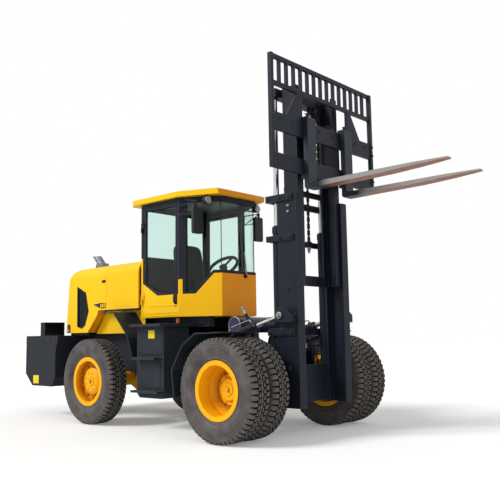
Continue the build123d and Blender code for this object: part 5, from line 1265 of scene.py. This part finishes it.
@dataclass
class OperatorSeat:
    """Suspension seat: bellows, cushion and back, shaped in place of the plain solid."""

    rear_x: float = -1600.0
    base_z: float = 1300.0
    top_z: float = 1590.0
    bellows_drop: float = 115.0
    bellows_half_w: float = 165.0
    bellows_span: tuple[float, float] = (45.0, 300.0)
    cushion_ahead: float = 237.0
    back_ahead: float = 14.0
    back_rise: float = 293.0
    folds: int = 6
    fold_inset: float = 14.0
    fold_h: float = 31.0
    channel_depth: float = 7.0
    # Rings and points of a pad's mesh, how far its end rings stay open, and the powers that square its plan,
    # its edge and its crown.
    ROWS = 28
    COLUMNS = 64
    OPEN_END = 0.02
    PLAN_POWER = 0.35
    EDGE_POWER = 0.5
    CROWN_POWER = 0.6
    # Parts of the half sizes: width and end of a channel, width and place of a welt, rise of the side roll.
    CHANNEL_W = 0.05
    CHANNEL_END = 0.62
    WELT_W = 0.04
    WELT_AT = 0.66
    ROLL_RISE = 0.22
    # What keeps the rolled pad within its half thickness.
    LEVEL = 0.82
    # How far the back leans over its height.
    LEAN = (90.0, 590.0)
    # Half length, half width and half thickness of each pad, and where its channels run.
    CUSHION = (232.0, 248.0, 55.0)
    CUSHION_CHANNELS = (-0.5, 0.0, 0.5)
    BACK = (292.0, 228.0, 50.0)
    BACK_CHANNELS = (-0.55, -0.15, 0.25, 0.6)

    def pad(self, size: tuple[float, float, float], place: Matrix, channels: Sequence[float]) -> Shape:
        """Makes one crowned pad with sewn channels and raised side rolls.

        Args:
            size: Half length, half width and half thickness in millimetres.
            place: Sets the pad's middle in the row frame.
            channels: Where the channels run across, as parts of the half length.

        Returns:
            The pad's shape.
        """
        shape = Shape()
        rings = []
        for i in range(self.ROWS + 1):
            rise = math.pi * ((i + self.OPEN_END) / (self.ROWS + 2 * self.OPEN_END) - 0.5)
            edge = bent(math.cos(rise), self.EDGE_POWER)
            ring = []
            for j in range(self.COLUMNS):
                turn = 2 * math.pi * j / self.COLUMNS
                u = edge * bent(math.cos(turn), self.PLAN_POWER)
                v = edge * bent(math.sin(turn), self.PLAN_POWER)
                w = bent(math.sin(rise), self.CROWN_POWER)
                if w > 0:
                    sunk = sum(math.exp(-((u - c) / self.CHANNEL_W) ** 2) for c in channels)
                    sunk *= abs(v) < self.CHANNEL_END
                    welt = math.exp(-((abs(v) - self.WELT_AT) / self.WELT_W) ** 2)
                    w += self.ROLL_RISE * abs(v) ** 3 - (sunk + welt) * self.channel_depth / size[2] * w
                ring.append(place @ (Vector((u * size[0], v * size[1], w * size[2] * self.LEVEL)) * MM))
            rings.append(ring)
        shape.skin(rings)
        return shape

    def bellows(self) -> None:
        """Makes the folded rubber skirt over the seat's suspension."""
        shape = Shape()
        start, end = self.bellows_span
        rise = (self.top_z - self.bellows_drop - self.base_z) / self.folds
        for i in range(self.folds):
            z = self.base_z + i * rise
            inset = self.fold_inset * (i % 2)
            half = self.bellows_half_w - inset
            rear, front = self.rear_x + start + inset, self.rear_x + end - inset
            shape.block((rear, -half, z), (front, half, z + self.fold_h), 8)
        shape.make("seat_bellows", (Surface.SEAL,), "rear_frame", Slot.PLASTIC, ("cab_seat",))

    def build(self) -> None:
        """Makes the bellows and both pads."""
        self.bellows()
        level = Matrix.Translation(spot(self.rear_x + self.cushion_ahead, 0, self.top_z - self.CUSHION[2]))
        back_at = spot(self.rear_x + self.back_ahead, 0, self.top_z + self.back_rise)
        lean = Matrix.Rotation(math.pi / 2 - math.atan2(*self.LEAN), 4, "Y")
        upright_back = Matrix.Translation(back_at) @ lean @ Matrix.Rotation(math.pi, 4, "Z")
        for name, size, place, channels in (
            ("seat_cushion", self.CUSHION, level, self.CUSHION_CHANNELS),
            ("seat_back", self.BACK, upright_back, self.BACK_CHANNELS),
        ):
            piece = self.pad(size, place, channels).make(name, (Surface.VINYL,), "rear_frame", Slot.VINYL)


@dataclass
class SideDecks:
    """Tread plate, covers and reflectors on the side tanks and steps."""

    tank_y: float = 800.0
    lozenge: float = 24.0
    lozenge_w: float = 9.0
    pitch: float = 34.0
    cover_corner: float = 18.0
    bolt_inset: float = 28.0
    bolt_flats: float = 15.0
    # Rear end, front end, inner edge, outer edge and top of each tread plate.
    PLATES = ((-1625.0, -1095.0, 590.0, 895.0, 1180.0), (-1575.0, -1195.0, 802.0, 900.0, 805.0),
              (-1595.0, -1145.0, 802.0, 900.0, 437.0))
    # Rear end, front end, foot and head of each cover on the tank's side.
    COVERS = ((-1590.0, -1165.0, 835.0, 1135.0), (-1560.0, -1200.0, 460.0, 762.0))
    # Size with corner radius, station, height and distance out of the tank's side of each reflector.
    REFLECTORS = (((112, 92, 6), -1345.0, 1063.0, 6.0), ((140, 110, 6), -3796.0, 485.0, -0.5))

    def tread(self) -> None:
        """Makes the raised lozenges of the deck and the steps."""
        shape = Shape()
        half, thick = self.lozenge / 2, self.lozenge_w / 2
        outline = ((-half, 0), (0, -thick), (half, 0), (0, thick))
        for side in Side:
            for rear, front, inner, outer, top in self.PLATES:
                for i in range(int((front - rear) / self.pitch)):
                    for j in range(int((outer - inner) / self.pitch)):
                        x, y = rear + (i + 0.6) * self.pitch, inner + (j + 0.6) * self.pitch
                        turn = math.pi / 4 if (i + j) % 2 else -math.pi / 4
                        place = Matrix.Translation(spot(x, side.value * y, top - 0.5))
                        shape.slab(outline, place @ Matrix.Rotation(turn, 4, "Z"), 3, 1.2)
        shape.make("step_tread_plates", (Surface.SLATE,), "rear_frame", Slot.GREY)

    def build(self) -> None:
        """Makes both sides."""
        self.tread()
        covers, patches = Shape(), Shape()
        for side in Side:
            s = side.value
            for rear, front, foot, head in self.COVERS:
                x, z, length, height = (rear + front) / 2, (foot + head) / 2, front - rear, head - foot
                covers.plate((length, height, self.cover_corner), (x, self.tank_y - 1, z), side, 7, 2)
                for dx in (-1, 1):
                    for dz in (-1, 1):
                        at = spot(x + dx * (length / 2 - self.bolt_inset), s * (self.tank_y + 6),
                                  z + dz * (height / 2 - self.bolt_inset))
                        covers.bolt(at, LEFT * s, self.bolt_flats)
            for size, x, z, out in self.REFLECTORS:
                patches.plate(size, (x, self.tank_y + out, z), side, 2, 0.6)
        covers.make("tank_covers", (Surface.SLATE,), "rear_frame", Slot.GREY)
        patches.make("side_reflectors", (Surface.REFLECTOR,), "rear_frame", Slot.YELLOW)


@dataclass
class TailFittings:
    """Lenses and bolts at the tail, and the radiator behind the rear grille."""

    rear_x: float = -4088.0
    lens_y: float = 410.0
    lens_z: float = 1155.0
    core_x: tuple[float, float] = (-3300.0, -3262.0)
    core_z: tuple[float, float] = (1069.0, 1640.0)
    core_half_w: float = 420.0
    tank_h: float = 60.0
    fin_pitch: float = 19.0
    fin_h: float = 8.0
    plate_y: float = 330.0
    bolt_pitch: float = 110.0
    # First station, count, height and flats of each row of bolts on the frame's side plates.
    BOLT_ROWS = ((-2050.0, 5, 1035.0, 24.0), (-3200.0, 3, 720.0, 30.0))

    def radiator(self) -> None:
        """Makes the finned core between its two tanks."""
        core = Shape()
        (rear, front), (low, top), half = self.core_x, self.core_z, self.core_half_w
        core.block((rear + 4, -half, low + self.tank_h - 2), (front - 4, half, top - self.tank_h + 2))
        for foot in (low, top - self.tank_h):
            core.block((rear - 6, -half - 12, foot), (front + 6, half + 12, foot + self.tank_h), 10)
        for i in range(int((top - low - 2 * self.tank_h) / self.fin_pitch)):
            z = low + self.tank_h + 2 + i * self.fin_pitch
            core.block((rear - 1, -half + 6, z), (front + 1, half - 6, z + self.fin_h))
        core.make("radiator_core", (Surface.PLASTIC,), "rear_frame", Slot.PLASTIC)

    def build(self) -> None:
        """Makes the radiator, lenses and frame bolts."""
        self.radiator()
        lenses, bolts = Shape(), Shape()
        for side in Side:
            s = side.value
            face = spot(self.rear_x, s * self.lens_y, self.lens_z)
            lenses.lathe(face, -AHEAD, ((4, 60), (9, 60), (11, 56)), 32)
            lenses.lathe(face, -AHEAD, ((8, 52), (11, 46), (11.8, 20)), 32, 1)
            for first, count, z, flats in self.BOLT_ROWS:
                for i in range(count):
                    bolts.bolt(spot(first + self.bolt_pitch * i, s * self.plate_y, z), LEFT * s, flats)
        lenses.make("rear_lamp_lenses", (Surface.SEAL, Surface.RED), "rear_frame", Slot.PLASTIC)
        bolts.make("rear_frame_bolts", (Surface.SLATE,), "rear_frame", Slot.GREY)


@dataclass
class MastFittings:
    """Bolts, adjusting plates, glands, chain anchors, sheave caps and hoses of the mast."""

    strap_y: float = 472.0
    web_y: float = 450.0
    lift_x: float = 195.0
    lift_y: float = 390.0
    barrel_top_z: float = 2149.0
    barrel_foot_z: float = 600.0
    port_z: float = 668.0
    rod_top_z: float = 3559.0
    chain_y: float = 185.0
    anchor_x: float = 170.5
    anchor_z: float = 1996.0
    sheave_x: float = 250.0
    sheave_z: float = 3450.0
    sheave_half_w: float = 42.0
    adjuster_x: float = 398.0
    adjuster_z: float = 2322.0
    tilt_pin: tuple[float, float] = (335.0, 1230.0)
    tilt_pin_y: float = 559.0
    hose_r: float = 11.0
    # Places along and up of the bolts on the straps and on the channel's web.
    STRAP_STATIONS = (150.0, 300.0, 425.0)
    STRAP_LEVELS = (1065.0, 2025.0, 2445.0)
    WEB_BOLT_X = 375.0
    WEB_LEVELS = (700.0, 1500.0)
    # Control points of a lift hose: station, distance out and height.
    HOSE = ((40, 250, 890), (40, 250, 960), (36, 262, 1000), (60, 320, 960), (90, 375, 800), (104, 389, 690),
            (118, 390, 668), (128, 390, 668))
    FERRULE = ((-4, 19), (16, 19), (18, 15), (44, 14), (46, 11))

    def bolts(self) -> None:
        """Makes the bolts and adjusting plates on the outer mast."""
        shape = Shape()
        for side in Side:
            s = side.value
            out = LEFT * s
            for z in self.STRAP_LEVELS:
                for x in self.STRAP_STATIONS:
                    shape.bolt(spot(x, s * self.strap_y, z), out, 26)
            shape.plate((46, 118, 22), (self.adjuster_x, self.web_y - 1, self.adjuster_z), side, 6, 2)
            for rise in (-30, 30):
                shape.bolt(spot(self.adjuster_x, s * (self.web_y + 5), self.adjuster_z + rise), out, 22, 1)
            for z in self.WEB_LEVELS:
                shape.bolt(spot(self.WEB_BOLT_X, s * self.web_y, z), out, 34)
        shape.make("outer_mast_bolts", (Surface.NAVY, Surface.ZINC), "mast_outer", Slot.DARK)

    def glands(self) -> None:
        """Makes the lift barrels' glands and ports, the chain anchors and the tilt pins' caps."""
        shape = Shape()
        pin_x, pin_z = self.tilt_pin
        for side in Side:
            s = side.value
            out = LEFT * s
            for z, profile in (
                (self.barrel_top_z, ((0, 50), (10, 50), (13, 47), (13, 38), (22, 36), (22, 31.5))),
                (self.barrel_foot_z, ((0, 56), (16, 56), (20, 52), (20, 48.5))),
            ):
                shape.lathe(spot(self.lift_x, s * self.lift_y, z), UP, profile, 28)
            port = spot(self.lift_x - 44, s * self.lift_y, self.port_z)
            shape.lathe(port, -AHEAD, ((-6, 20), (14, 20), (14, 15), (30, 15)), 12)
            shape.anchor(spot(self.anchor_x, s * self.chain_y, self.anchor_z), 70, 18, (2, 26))
            cap = spot(pin_x, s * self.tilt_pin_y, pin_z)
            shape.lathe(cap, out, ((0, 36), (5, 36), (7, 33), (7, 27)), 32, 1)
            shape.bolt(spot(pin_x, s * (self.tilt_pin_y + 6), pin_z), out, 34, 1)
        shape.make("lift_glands_and_anchors", (Surface.NAVY, Surface.ZINC), "mast_outer", Slot.CHROME)

    def caps(self) -> None:
        """Makes the lift rods' collars and the sheaves' caps on the inner mast."""
        shape = Shape()
        for side in Side:
            s = side.value
            shape.lathe(spot(self.lift_x, s * self.lift_y, self.rod_top_z), -UP,
                        ((0, 42), (22, 42), (26, 38), (26, 30.5)), 28)
            for way in (-1, 1):
                face = spot(self.sheave_x, s * self.chain_y + way * self.sheave_half_w, self.sheave_z)
                shape.lathe(face, LEFT * way, ((-1, 30), (5, 30), (7, 27), (7, 14)), 24, 1)
        shape.make("inner_mast_caps", (Surface.NAVY, Surface.ZINC), "mast_inner", Slot.DARK)

    def hoses(self) -> None:
        """Makes the hoses from the front frame to the lift barrels."""
        for side in Side:
            route = [spot(x, side.value * y, z) for x, y, z in self.HOSE]
            hose = Shape()
            hose.hose(route, self.hose_r, 10, self.FERRULE, 12)
            piece = hose.make(f"lift_hose_{side.label}", (Surface.SEAL, Surface.ZINC), "", Slot.PLASTIC)
            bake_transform(piece)

    def build(self) -> None:
        """Makes all of the mast's pieces."""
        self.bolts()
        self.glands()
        self.caps()
        self.hoses()


@dataclass
class LeafChains:
    """Leaf chains laced two and three, in place of the plain notched runs."""

    chain_y: float = 185.0
    wheel_x: float = 250.0
    wheel_z: float = 3450.0
    low_z: float = 2062.0
    anchor_z: float = 2798.0
    run_r: float = 79.5
    half_w: float = 19.5
    eye_r: float = 8.6
    waist: float = 5.4
    pin_r: float = 5.0
    pin_end: float = 0.4
    pitch: float = 38.0
    bends: int = 7
    eye_steps: int = 4
    # Faces of the inner leaves across the chain; the outer ones end at its half width.
    INNER_FACES = (-11.9, -11.7, -4.1, -3.9, 3.9, 4.1, 11.7, 11.9)

    def leaf(self, shape: Shape, a: Vector, b: Vector, out: Vector, faces: Sequence[float]) -> None:
        """Adds one figure-of-eight leaf.

        Args:
            shape: Where it goes.
            a: One pin's centre.
            b: The other pin's centre.
            out: Out of the chain's run, in its own plane.
            faces: The y of its two faces, in millimetres.
        """
        run = (b - a).normalized()
        outline = []
        for centre, way in ((a, -1), (b, 1)):
            for k in range(self.eye_steps + 1):
                turn = math.pi * (k / self.eye_steps - 0.5)
                spoke = run * math.cos(turn) + out * math.sin(turn)
                outline.append(centre + spoke * way * self.eye_r * MM)
            outline.append((a + b) / 2 + out * way * self.waist * MM)
        shape.skin([[Vector((p.x, y * MM, p.z)) for p in outline] for y in faces])

    def lace(self, shape: Shape, pins: Sequence[Vector], outs: Sequence[Vector], y: float) -> None:
        """Laces leaves along a row of pins.

        Args:
            shape: Where they go.
            pins: Pin centres in row metres.
            outs: Out of the run at each pin.
            y: The chain's middle, in millimetres.
        """
        edges = [y + face for face in (-self.half_w, *self.INNER_FACES, self.half_w)]
        bands = list(zip(edges[::2], edges[1::2]))
        for i in range(len(pins) - 1):
            out = (outs[i] + outs[i + 1]).normalized()
            for faces in bands[i % 2::2]:
                self.leaf(shape, pins[i], pins[i + 1], out, faces)
        reach = self.half_w + self.pin_end
        for pin in pins:
            end = Vector((pin.x, (y - reach) * MM, pin.z))
            shape.lathe(end, LEFT, ((0, self.pin_r), (2 * reach, self.pin_r)), 8)

    def heights(self, end: float) -> list[float]:
        """Spaces the pins of a straight run from the sheave's height to its end, a pitch or so apart."""
        count = round((self.wheel_z - end) / self.pitch)
        return [self.wheel_z - (self.wheel_z - end) * i / count for i in range(count + 1)]

    def build(self) -> None:
        """Makes the rear and front runs of both chains."""
        rear, front = Shape(), Shape()
        behind = [spot(self.wheel_x - self.run_r, 0, z) for z in reversed(self.heights(self.low_z))]
        turns = [math.pi * (1 - k / self.bends) for k in range(self.bends)]
        outs = [Vector((math.cos(turn), 0, math.sin(turn))) for turn in turns]
        ahead = [spot(self.wheel_x, 0, self.wheel_z) + out * self.run_r * MM for out in outs]
        ahead += [spot(self.wheel_x + self.run_r, 0, z) for z in self.heights(self.anchor_z)]
        outs += [AHEAD] * (len(ahead) - len(outs))
        for side in Side:
            y = side.value * self.chain_y
            self.lace(rear, behind, [-AHEAD] * len(behind), y)
            self.lace(front, ahead, outs, y)
        piece = rear.make("rear_chain_leaves", (Surface.CHAIN,), "", Slot.CHAIN, ("lift_chains_rear",))
        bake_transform(piece)
        piece = front.make("front_chain_leaves", (Surface.CHAIN,), "", Slot.CHAIN, ("lift_chains_front",))
        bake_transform(piece)


@dataclass
class CarriageFittings:
    """Fork locks, chain anchors and bolts on the carriage."""

    fork_y: float = 330.0
    hook_z: float = 3260.0
    front_x: float = 580.0
    anchor: tuple[float, float, float] = (329.5, 185.0, 2702.0)
    post_x: float = 590.0
    post_y: float = 885.0
    bar_z: float = 3165.0
    post_flats: float = 22.0
    bar_flats: float = 20.0
    # Heights of the bolts on the end posts and their places across the upper bar.
    POST_LEVELS = (2700.0, 2770.0, 3080.0, 3180.0)
    BAR_PLACES = (120.0, 560.0, 760.0)
    # Height and radius up a fork lock's pin; distance out and height along its handle.
    LOCK_PIN = ((0, 26), (8, 26), (8, 14), (34, 13), (36, 20), (46, 21), (50, 17))
    LOCK_HANDLE = ((0, 41), (34, 44), (52, 36))

    def build(self) -> None:
        """Makes the pieces of both sides."""
        locks, bolts = Shape(), Shape()
        anchor_x, anchor_y, anchor_z = self.anchor
        for side in Side:
            s = side.value
            head = spot(self.front_x + 8, s * self.fork_y, self.hook_z - 2)
            locks.lathe(head, UP, self.LOCK_PIN, 20)
            locks.tube([head + Vector((0, s * d * MM, h * MM)) for d, h in self.LOCK_HANDLE], 5, 8)
            locks.anchor(spot(anchor_x, s * anchor_y, anchor_z), 56, 16, (1, 22))
            for z in self.POST_LEVELS:
                bolts.bolt(spot(self.post_x, s * self.post_y, z), AHEAD, self.post_flats)
            for y in self.BAR_PLACES:
                bolts.bolt(spot(self.front_x, s * y, self.bar_z), AHEAD, self.bar_flats)
        locks.make("fork_locks_and_anchors", (Surface.NAVY, Surface.ZINC), "carriage", Slot.DARK)
        bolts.make("carriage_bolts", (Surface.NAVY,), "carriage", Slot.DARK)


@dataclass
class CylinderFittings:
    """The barrels' glands, ports and pipes, the pivot's hoses, the air drum's straps and the lock bar."""

    tilt_tail: tuple[float, float] = (-480.0, 1000.0)
    tilt_eye: tuple[float, float] = (335.0, 1230.0)
    tilt_y: float = 500.0
    tilt_len: float = 470.0
    tilt_r: float = 46.0
    gland_bolts: int = 6
    gland_ring: float = 45.0
    pipe_r: float = 7.0
    steer_tail_x: float = -1640.0
    steer_y: float = 205.0
    steer_z: float = 655.0
    steer_len: float = 440.0
    hose_r: float = 12.0
    drum_x: float = -430.0
    drum_z: float = 1150.0
    rim_y: float = 399.0
    rim_r: float = 87.0
    rim_steps: int = 40
    strap_y: float = 180.0
    # Distance along and radius of the tilt and steering glands and of a tilt barrel's port and its nut.
    TILT_GLAND = ((0, 49), (3, 53), (36, 53), (40, 49), (40, 40), (52, 36), (52, 27.5))
    STEER_GLAND = ((0, 43), (2, 45.5), (26, 45.5), (29, 43), (29, 34), (38, 31), (38, 23.5))
    PORT = ((-6, 17), (12, 17), (14, 15))
    PORT_NUT = ((0, 12), (16, 12), (18, 9))
    # Control points of a pivot hose: station, distance out and height.
    HOSE = ((-1490, 90, 918), (-1490, 90, 990), (-1440, 86, 1030), (-1190, 70, 1040), (-930, 86, 1020),
            (-880, 90, 970), (-880, 90, 884))
    FERRULE = ((-4, 22), (14, 22), (16, 17), (42, 15), (44, 12))
    STRAP = ((0, 88.5), (1, 90.5), (31, 90.5), (32, 88.5))
    # Foot and direction point of the stowed lock bar, and the profiles of its rod and of its plated end.
    LOCK_BAR = ((-256, -315, 1142), (-393, -315, 1342))
    BAR_ROD = ((-262, 14), (0, 14), (2, 19), (150, 19))
    BAR_END = ((148, 16), (220, 16), (224, 21), (238, 21), (242, 15))

    def tilt(self, side: Side) -> None:
        """Makes one tilt barrel's gland, ports and pipe.

        Args:
            side: Which barrel.
        """
        tail, eye = (spot(x, side.value * self.tilt_y, z) for x, z in (self.tilt_tail, self.tilt_eye))
        run = (eye - tail).normalized()
        up = run.cross(LEFT)
        shape = Shape()
        shape.lathe(tail + run * (self.tilt_len - 28) * MM, run, self.TILT_GLAND, 28)
        for k in range(self.gland_bolts):
            turn = 2 * math.pi * k / self.gland_bolts
            ring = (LEFT * math.cos(turn) + up * math.sin(turn)) * self.gland_ring
            shape.bolt(tail + (run * (self.tilt_len + 11) + ring) * MM, run, 9, 1)
        ports = [tail + (run * d + up * self.tilt_r) * MM for d in (95.0, self.tilt_len - 55)]
        for port in ports:
            shape.lathe(port, up, self.PORT, 12)
            shape.lathe(port + up * 12 * MM, up, self.PORT_NUT, 6, 1)
        pipe = [port + (up * rise + run * along) * MM for port, rise, along in (
            (ports[1], 20, 0), (ports[1], 40, 0), (ports[1], 44, -30), (ports[0], 44, 60),
            (ports[0], 44, 34))]
        shape.tube(bowed(pipe, 6), self.pipe_r, tint=1)
        shape.make(f"tilt_gland_{side.label}", (Surface.NAVY, Surface.ZINC), f"tilt_barrel_{side.label}",
                   Slot.DARK)

    def steer(self, side: Side) -> None:
        """Makes one steering barrel's gland.

        Args:
            side: Which barrel.
        """
        shape = Shape()
        mouth = spot(self.steer_tail_x + self.steer_len - 20, side.value * self.steer_y, self.steer_z)
        shape.lathe(mouth, AHEAD, self.STEER_GLAND)
        shape.make(f"steer_gland_{side.label}", (Surface.NAVY,), f"steer_barrel_{side.label}", Slot.DARK)

    def pivot_hoses(self) -> None:
        """Makes the hoses that cross the pivot over its upper lugs."""
        for side in Side:
            route = [spot(x, side.value * y, z) for x, y, z in self.HOSE]
            hose = Shape()
            hose.hose(route, self.hose_r, 12, self.FERRULE, 6)
            piece = hose.make(f"pivot_hose_{side.label}", (Surface.SEAL, Surface.ZINC), "", Slot.PLASTIC)
            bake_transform(piece)

    def drum(self) -> None:
        """Makes the air drum's rims and straps and the stowed steering lock bar."""
        shape = Shape()
        x, z = self.drum_x, self.drum_z
        turns = [2 * math.pi * k / self.rim_steps for k in range(self.rim_steps)]
        for side in Side:
            s = side.value
            rim = [spot(x + self.rim_r * math.cos(turn), s * self.rim_y, z + self.rim_r * math.sin(turn))
                   for turn in turns]
            shape.tube(rim, 4.5, 8, 1, closed=True)
            shape.lathe(spot(x, s * self.strap_y, z), LEFT * s, self.STRAP, self.rim_steps)
        foot, head = (spot(*point) for point in self.LOCK_BAR)
        shape.lathe(foot, head - foot, self.BAR_ROD, 16)
        shape.lathe(foot, head - foot, self.BAR_END, 16, 1)
        shape.make("drum_straps_and_lock_bar", (Surface.NAVY, Surface.ZINC), "front_frame", Slot.CHROME)

    def build(self) -> None:
        """Makes all of the pieces."""
        for side in Side:
            self.tilt(side)
            self.steer(side)
        self.pivot_hoses()
        self.drum()


@dataclass
class Studio:
    """Floor, light and camera."""

    camera_at: tuple[float, float, float] = (5.7555, -5.858, 1.047)
    yaw: float = 0.834
    pitch: float = 0.122
    roll: float = -0.016
    lens: float = 49.46
    sensor: float = 36.0
    sight: float = 300.0
    ambient: float = 0.33
    front_ambient: float = 1.1
    sun: float = 2.3
    sun_angle: float = 0.42
    sun_from: tuple[float, float, float] = (-0.45, -0.85, 0.82)
    floor_half: float = 90.0
    floor_tone: str = "#f3f3f2"
    white: str = "#ffffff"
    # The floor's glow is lower near the machine than far off, so the floor round it reads darker: a painted
    # shadow.
    near_lift_painted_shadow: float = 0.19
    far_lift: float = 0.36
    lift_from: float = 2.6
    lift_to: float = 6.5
    # Forward parts of a direction between which the surround grows lighter.
    FRONT_EDGES = (0.3, 0.8)

    def camera(self) -> None:
        """Sets the camera where the photograph was taken from."""
        level = math.cos(self.pitch)
        look = Vector((-math.cos(self.yaw) * level, math.sin(self.yaw) * level, math.sin(self.pitch)))
        right = Vector((math.sin(self.yaw), math.cos(self.yaw), 0))
        up = right.cross(look)
        across = right * math.cos(self.roll) + up * math.sin(self.roll)
        rise = up * math.cos(self.roll) - right * math.sin(self.roll)
        data = bpy.data.cameras.new("camera")
        data.lens, data.sensor_width = self.lens, self.sensor
        data.clip_end = self.sight
        holder = bpy.data.objects.new("camera", data)
        turn = Matrix((across, rise, -look)).transposed().to_4x4()
        holder.matrix_world = Matrix.Translation(self.camera_at) @ turn
        bpy.context.collection.objects.link(holder)
        bpy.context.scene.camera = holder

    def floor(self) -> None:
        """Lays a pale floor that keeps the shadow and shows white to the camera, with a painted shadow near
        the machine where its glow is weaker.
        """
        h = self.floor_half
        mesh = bpy.data.meshes.new("floor")
        mesh.from_pydata([(-h, -h, 0), (h, -h, 0), (h, h, 0), (-h, h, 0)], [], [(0, 1, 2, 3)])
        material = bpy.data.materials.new("matt_white_floor")
        material.use_nodes = True
        tree = material.node_tree
        tree.nodes.clear()
        matt = add_node(tree, "ShaderNodeBsdfDiffuse", {"Color": linear(self.floor_tone)})
        seen = add_node(tree, "ShaderNodeLightPath").outputs["Is Camera Ray"]
        place = add_node(tree, "ShaderNodeTexCoord").outputs["Object"]
        away = add_node(tree, "ShaderNodeVectorMath", links={0: place}, operation="LENGTH")
        # The glow grows with distance from the middle, so the floor near the machine reads darker: a painted
        # shadow.
        painted_shadow_lift = add_node(tree, "ShaderNodeMapRange",
                        {"From Min": self.lift_from, "From Max": self.lift_to, "To Min": self.near_lift_painted_shadow,
                         "To Max": self.far_lift}, {"Value": away.outputs["Value"]})
        shown = add_node(tree, "ShaderNodeMath", links={0: painted_shadow_lift.outputs[0], 1: seen}, operation="MULTIPLY")
        glow = add_node(tree, "ShaderNodeEmission", {"Color": linear(self.white)},
                        {"Strength": shown.outputs[0]})
        both = add_node(tree, "ShaderNodeAddShader", links={0: matt.outputs[0], 1: glow.outputs[0]})
        add_node(tree, "ShaderNodeOutputMaterial", links={"Surface": both.outputs[0]})
        mesh.materials.append(material)
        holder = bpy.data.objects.new("floor", mesh)
        bpy.context.collection.objects.link(holder)

    def light(self) -> None:
        """Lights the machine by a wide soft lamp from its right rear and a white surround, lighter ahead."""
        world = bpy.data.worlds.new("studio")
        bpy.context.scene.world = world
        world.use_nodes = True
        tree = world.node_tree
        tree.nodes.clear()
        path = add_node(tree, "ShaderNodeLightPath")
        seen = add_node(tree, "ShaderNodeMath",
                        links={0: path.outputs["Is Camera Ray"], 1: path.outputs["Is Glossy Ray"]},
                        operation="MAXIMUM")
        seen = add_node(tree, "ShaderNodeMath",
                        links={0: seen.outputs[0], 1: path.outputs["Is Transmission Ray"]},
                        operation="MAXIMUM")
        straight = add_node(tree, "ShaderNodeMath", {1: 0.5}, {0: path.outputs["Diffuse Depth"]},
                            operation="LESS_THAN")
        seen = add_node(tree, "ShaderNodeMath", links={0: seen.outputs[0], 1: straight.outputs[0]},
                        operation="MULTIPLY")
        way = add_node(tree, "ShaderNodeSeparateXYZ",
                       links={0: add_node(tree, "ShaderNodeTexCoord").outputs["Generated"]})
        fill = add_node(tree, "ShaderNodeMapRange",
                        {"From Min": self.FRONT_EDGES[0], "From Max": self.FRONT_EDGES[1],
                         "To Min": self.ambient, "To Max": self.front_ambient}, {"Value": way.outputs["X"]})
        level = add_node(tree, "ShaderNodeMapRange", {"To Max": 1.0},
                         {"Value": seen.outputs[0], "To Min": fill.outputs[0]})
        sky = add_node(tree, "ShaderNodeBackground", {"Color": linear(self.white)},
                       {"Strength": level.outputs[0]})
        add_node(tree, "ShaderNodeOutputWorld", links={"Surface": sky.outputs[0]})
        data = bpy.data.lights.new("key", "SUN")
        data.energy, data.angle = self.sun, self.sun_angle
        holder = bpy.data.objects.new("key", data)
        holder.rotation_euler = Vector(self.sun_from).to_track_quat("Z", "Y").to_euler()
        bpy.context.collection.objects.link(holder)

    def build(self) -> None:
        """Sets the studio."""
        bpy.context.scene.view_settings.view_transform = "Standard"
        self.camera()
        self.floor()
        self.light()


def dress_nodes() -> None:
    """Gives every solid its finish."""
    for surface, names in NODE_FINISHES.items():
        for name in names:
            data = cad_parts[name].data
            data.materials.clear()
            data.materials.append(surface.material())
            LOG.info("%s: %s", name, surface.value.name)


def main() -> None:
    """Builds the studio, dresses the solids and adds each sub-assembly's pieces."""
    logging.basicConfig(level=logging.INFO, format="%(name)s: %(message)s")
    Studio().build()
    dress_nodes()
    for side in Side:
        WheelSet(name=f"front_{side.label}", side=side, axle_x=0.0, tyre_ys=(1020.0, 725.0), nut_y=886.8,
                 nut_ring=170.0, cover_y=925.5, cover_ring=134.0, plug_y=950.5,
                 tyre_node=f"front_{side.label}_tyres").build()
        WheelSet(name=f"rear_{side.label}", side=side, axle_x=-2386.0, tyre_ys=(840.0,), nut_y=846.0,
                 nut_ring=202.0, cover_y=895.0, cover_ring=100.0, plug_y=895.0,
                 tyre_node=f"rear_{side.label}_tyre").build()
    for fittings in (HoodFittings(), CabFittings(), OperatorSeat(), SideDecks(), TailFittings(),
                     MastFittings(), LeafChains(), CarriageFittings(), CylinderFittings()):
        fittings.build()
    bpy.context.view_layer.update()


if __name__ == "__main__":
    main()
